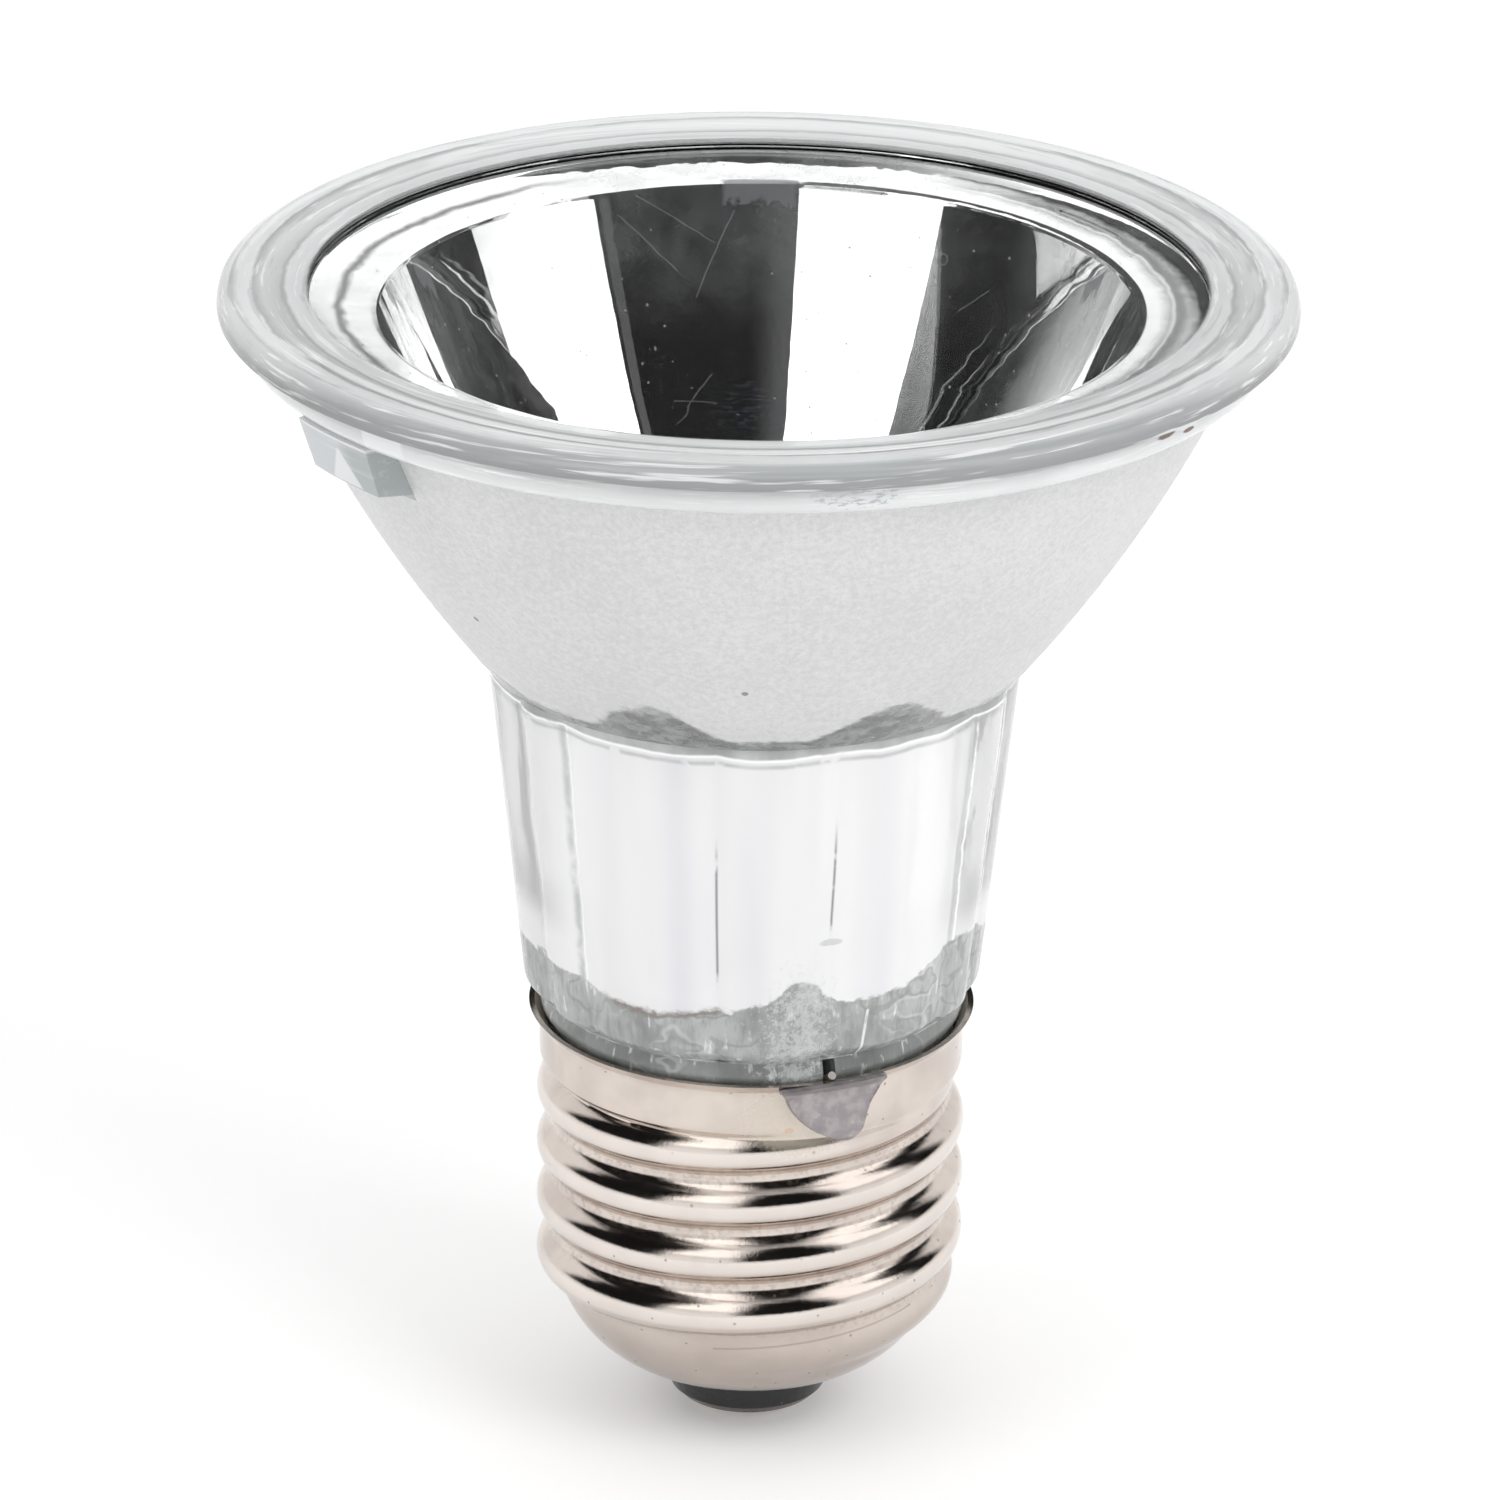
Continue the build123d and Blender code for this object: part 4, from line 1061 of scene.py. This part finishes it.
paint("base_cement", cream_cement())
lead_metal = drawn_metal("nickel_wire", rgb(0.56, 0.52, 0.48), rgb(0.70, 0.66, 0.62), 0.25)
paint("side_lead_wire", lead_metal)
paint("centre_lead_wire", lead_metal)

# Side solder
# A pad of grey solder over the shell's lip, round on its left and straight on its right, with a raised edge.
# The side wire's end shows in it at the lip.
SOLDER_RIM = 0.16
SOLDER_THICK = 0.42
SOLDER_STATIONS = ((35.6, 45.55), (32.6, 47.6), (29.6, 49.5), (25.0, 49.75), (20.5, 49.35), (15.0, 48.5),
                   (11.0, 47.5), (9.2, 46.6), (9.4, 45.75))
SOLDER_MIDDLE = (22.5, 46.9)
SOLDER_SIDES = 96
SOLDER_FOOT = 0.02
SOLDER_SWELL = 0.12
SOLDER_SHARP = 60


def shell_surface(angle, depth):
    """Radius of the shell's outside at an angle and a depth."""
    if depth < LIP + FLARE:
        return SKIRT_R + (LIP_R - SKIRT_R) * (LIP + FLARE - depth) / FLARE
    swell = float(thread(depth, np.array([angle]))[0])
    if depth < SKIRT_END:
        return SKIRT_R + swell
    return max(ROOT_R, SKIRT_R - (depth - SKIRT_END) / (THREAD_TOP - SKIRT_END) * (SKIRT_R - ROOT_R)) + swell


def solder_edge(share):
    """Place on the pad's edge, going round it once as share goes from 0 to 1."""
    count = len(SOLDER_STATIONS)
    number = int(share * count) % count
    along = share * count - int(share * count)
    before, start, end, after = [np.array(SOLDER_STATIONS[(number + step) % count]) for step in (-1, 0, 1, 2)]
    pull = 0.5 * (end - before)
    push = 0.5 * (after - start)
    return ((2 * along ** 3 - 3 * along ** 2 + 1) * start + (along ** 3 - 2 * along ** 2 + along) * pull
            + (3 * along ** 2 - 2 * along ** 3) * end + (along ** 3 - along ** 2) * push)


def solder_pad():
    """Closed pad: rings from its middle to its edge, a rounded side, and a back that follows the shell."""
    profile = [(share, SOLDER_THICK + SOLDER_SWELL * share ** 4) for share in np.linspace(0, 0.9, 10)]
    profile += [(0.95, SOLDER_THICK + SOLDER_RIM), (0.985, SOLDER_THICK * 0.75), (1.0, 0.25),
                (1.0, SOLDER_FOOT)]
    profile += [(share, SOLDER_FOOT) for share in np.linspace(0.9, 0, 8)]
    middle = np.array(SOLDER_MIDDLE)
    points, faces = [], []
    for share, lift in profile:
        for side in range(SOLDER_SIDES):
            edge = solder_edge(side / SOLDER_SIDES)
            angle, depth = middle + (edge - middle) * share
            radius = shell_surface(angle, depth) + lift
            turn = math.radians(angle)
            points.append((radius * MM * math.sin(turn), -radius * MM * math.cos(turn), level(depth)))
    for ring in range(len(profile) - 1):
        for side in range(SOLDER_SIDES):
            after = (side + 1) % SOLDER_SIDES
            low, high = ring * SOLDER_SIDES, (ring + 1) * SOLDER_SIDES
            faces.append((low + side, low + after, high + after, high + side))
    return placed("solder_pad", mesh_of("solder_pad", points, faces), SOLDER_SHARP)


pad = solder_pad()
pad.data.materials.append(soft_solder("side_solder", rgb(0.42, 0.385, 0.39), rgb(0.31, 0.285, 0.295)))
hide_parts("side_solder")
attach(pad, "root")

# Studio
# A pale floor under soft lamps, with white softboxes and dark cards all round.
# Only the mirror, the metal and the lens show the cards, and each kind of card by its own path of light.
CARD_DISTANCE = 1.6
ECHO_DISTANCE = 1.5
THROUGH_LENS = "through the lens"
TWICE = "twice in the mirror"
BARE = "bare"
ON_LENS = "on the lens"
ECHO = "echo inside the mirror"


def studio_card(name, turns, rises, greys, shown, reach):
    """Card on a sphere round the lamp, between two turns and two elevations, for one path of light."""
    columns, rows = 24, 12
    points, faces = [], []
    for row in range(rows + 1):
        rise = math.radians(rises[0] + (rises[1] - rises[0]) * row / rows)
        for column in range(columns + 1):
            turn = math.radians(turns[0] + (turns[1] - turns[0]) * column / columns)
            points.append((reach * math.cos(rise) * math.sin(turn), -reach * math.cos(rise) * math.cos(turn),
                           reach * math.sin(rise)))
    for row in range(rows):
        for column in range(columns):
            corner = row * (columns + 1) + column
            faces.append((corner, corner + 1, corner + columns + 2, corner + columns + 1))
    mesh = mesh_of(name, points, faces)
    card = Finish(name)
    rays = card.place.node("ShaderNodeLightPath").output.node
    bounces = Tone(card.tree, rays.outputs["Glossy Depth"])
    skins = Tone(card.tree, rays.outputs["Transmission Depth"])
    seen = bounces.math("GREATER_THAN", bounces, 2.5 if shown == ECHO else 0.5)
    if shown == BARE:
        seen = seen * skins.math("LESS_THAN", skins, 0.5)
    elif shown == ON_LENS:
        seen = seen * skins.math("LESS_THAN", skins, 2.5) * bounces.math("LESS_THAN", bounces, 1.5)
    else:
        seen = seen * skins.math("GREATER_THAN", skins, 3.5)
    twice = bounces.math("GREATER_THAN", bounces, 1.5) * bounces.math("LESS_THAN", bounces, 2.5)
    if shown == THROUGH_LENS:
        seen = seen * (1 - twice)
    if shown == TWICE:
        seen = seen * twice
    around = card.angle + (card.angle.step(0.01, 0.0) * 360 if turns[1] > 180 else 0)
    colour = around.step(*turns).blend(rgb(*[greys[0]] * 3), rgb(*[greys[1]] * 3))
    glow = card.place.node("ShaderNodeEmission", None, {"Color": colour, "Strength": 1.0})
    clear = card.place.node("ShaderNodeBsdfTransparent")
    mesh.materials.append(card.done(card.mix(seen, clear, glow)))
    board = linked(name, mesh)
    board.visible_camera = False
    board.visible_diffuse = False
    board.visible_shadow = False


TALL = (0.5, 78)
LOW = (0.5, 85)
DOME_RISE = (0, 88)
BARE_CARD = (9, 78)
BARE_SOFTBOX = (32, 78)
WHITE, SOFT, BLACK, GREY = 3.2, 1.7, 0.012, 0.03
CARDS = {
    THROUGH_LENS: (
        ("card_front_soft", (-12.5, 4), TALL, (0.15, BLACK)),
        ("card_front", (4, 48), TALL, (BLACK, BLACK)),
        ("softbox_frame", (48, 51.5), TALL, (0.16, 0.16)),
        ("card_frame", (51.5, 53), TALL, (GREY, GREY)),
        ("softbox_right", (53, 97.5), TALL, (WHITE, WHITE)),
        ("card_right", (97.5, 150), TALL, (BLACK, BLACK)),
        ("light_behind", (150, 182.5), TALL, (2.2, 2.2)),
        ("light_edge", (182.5, 188), TALL, (2.2, 0.1)),
        ("card_behind", (188, 205), TALL, (0.1, 0.1)),
        ("fading_wall", (-155, -108), TALL, (2.2, 0.02)),
        ("card_left", (-108, -59), TALL, (BLACK, BLACK)),
        ("softbox_left", (-59, -12.5), TALL, (WHITE, WHITE))),
    TWICE: (
        ("twice_bright_right", (-150, -93), LOW, (2.1, 2.1)),
        ("twice_fading", (-93, -20), LOW, (1.35, GREY)),
        ("twice_dark", (-20, 80), LOW, (GREY, GREY)),
        ("twice_bright_left", (80, 130), LOW, (2.5, 2.5))),
    ECHO: (
        ("card_echo", (100, 262), DOME_RISE, (GREY, GREY)),),
    BARE: (
        ("bare_card_front", (-8, 48), BARE_CARD, (BLACK, BLACK)),
        ("bare_card_left", (-114, -50), BARE_CARD, (BLACK, BLACK)),
        ("bare_card_right", (93, 120), BARE_CARD, (BLACK, BLACK)),
        ("bare_softbox_left", (-50, -8), BARE_SOFTBOX, (SOFT, SOFT)),
        ("bare_softbox_right", (48, 93), BARE_SOFTBOX, (SOFT, SOFT))),
    ON_LENS: (
        ("lens_card", (160, 204), (12, 34), (0.02, 0.02)),),
}
for shown, cards in CARDS.items():
    for name, turns, rises, greys in cards:
        studio_card(name, turns, rises, greys, shown, ECHO_DISTANCE if shown == ECHO else CARD_DISTANCE)


def seen_directly(tree):
    """1 where the camera, a mirror or glass looks at the place, and 0 for the light that it gives."""
    rays = Tone(tree, None).node("ShaderNodeLightPath").output.node
    camera, gloss, glass = [Tone(tree, rays.outputs["Is %s Ray" % kind])
                            for kind in ("Camera", "Glossy", "Transmission")]
    return camera + gloss + glass


FLOOR_REACH = 4
FLOOR_CORNERS = ((-1, -1), (1, -1), (1, 1), (-1, 1))
floor_points = [(side * FLOOR_REACH, end * FLOOR_REACH, 0) for side, end in FLOOR_CORNERS]
floor = linked("floor", mesh_of("floor", floor_points, [(0, 1, 2, 3)]))
paper = bpy.data.materials.new("white_paper")
paper.use_nodes = True
paper.node_tree.nodes.clear()
tone = Tone(paper.node_tree, None)
matt = tone.node("ShaderNodeBsdfDiffuse", None, {"Color": rgb(0.93, 0.93, 0.93)})
glow = tone.node("ShaderNodeEmission", None, {"Color": rgb(1, 1, 1), "Strength": 0.12})
none = tone.node("ShaderNodeEmission", None, {"Color": rgb(0, 0, 0), "Strength": 0.0})
lift = tone.node("ShaderNodeMixShader", None, {0: seen_directly(paper.node_tree), 1: none, 2: glow})
both = tone.node("ShaderNodeAddShader", None, {0: matt, 1: lift})
tone.node("ShaderNodeOutputMaterial", None, {"Surface": both})
floor.data.materials.append(paper)

world = bpy.data.worlds.new("studio")
bpy.context.scene.world = world
world.use_nodes = True
world.node_tree.nodes.clear()
AMBIENT = 0.90
tone = Tone(world.node_tree, None)
strength = seen_directly(world.node_tree).least(1.0) * (1 - AMBIENT) + AMBIENT
sky = tone.node("ShaderNodeBackground", None, {"Color": rgb(1, 1, 1), "Strength": strength})
tone.node("ShaderNodeOutputWorld", None, {"Surface": sky})
LAMP_AIM = Vector((0, 0, 0.04))


def soft_lamp(name, place, size, power):
    data = bpy.data.lights.new(name, "AREA")
    data.size = size
    data.energy = power
    lamp = linked(name, data)
    lamp.location = place
    lamp.rotation_euler = (LAMP_AIM - Vector(place)).to_track_quat("-Z", "Y").to_euler()
    lamp.visible_glossy = False
    lamp.visible_transmission = False


soft_lamp("key_lamp", place=(0.8, -0.8, 1.0), size=0.7, power=5.5)
soft_lamp("fill_lamp", place=(-0.9, -0.6, 1.0), size=0.8, power=2.0)

# Camera
# At the photograph's angle: 22 degrees above the rim's plane, with a long lens.
# It is rolled by the lean of the lamp's axis.
CAMERA_DISTANCE = 0.6
CAMERA_RISE = math.radians(22.2)
CAMERA_ROLL = math.radians(0.6)
AIM = Vector((-0.24 * MM, 0, level(29.24)))
FILM_WIDTH = 36
LENS_LENGTH = 237.2
NEAR_LIMIT = 0.01
camera_data = bpy.data.cameras.new("camera")
camera_data.sensor_width = FILM_WIDTH
camera_data.lens = LENS_LENGTH
camera_data.clip_start = NEAR_LIMIT
camera = linked("camera", camera_data)
camera.location = AIM + CAMERA_DISTANCE * Vector((0, -math.cos(CAMERA_RISE), math.sin(CAMERA_RISE)))
camera.rotation_euler = (math.pi / 2 - CAMERA_RISE, 0, 0)
camera.rotation_euler.rotate_axis("Z", CAMERA_ROLL)
bpy.context.scene.camera = camera
bpy.context.scene.view_settings.view_transform = "Standard"
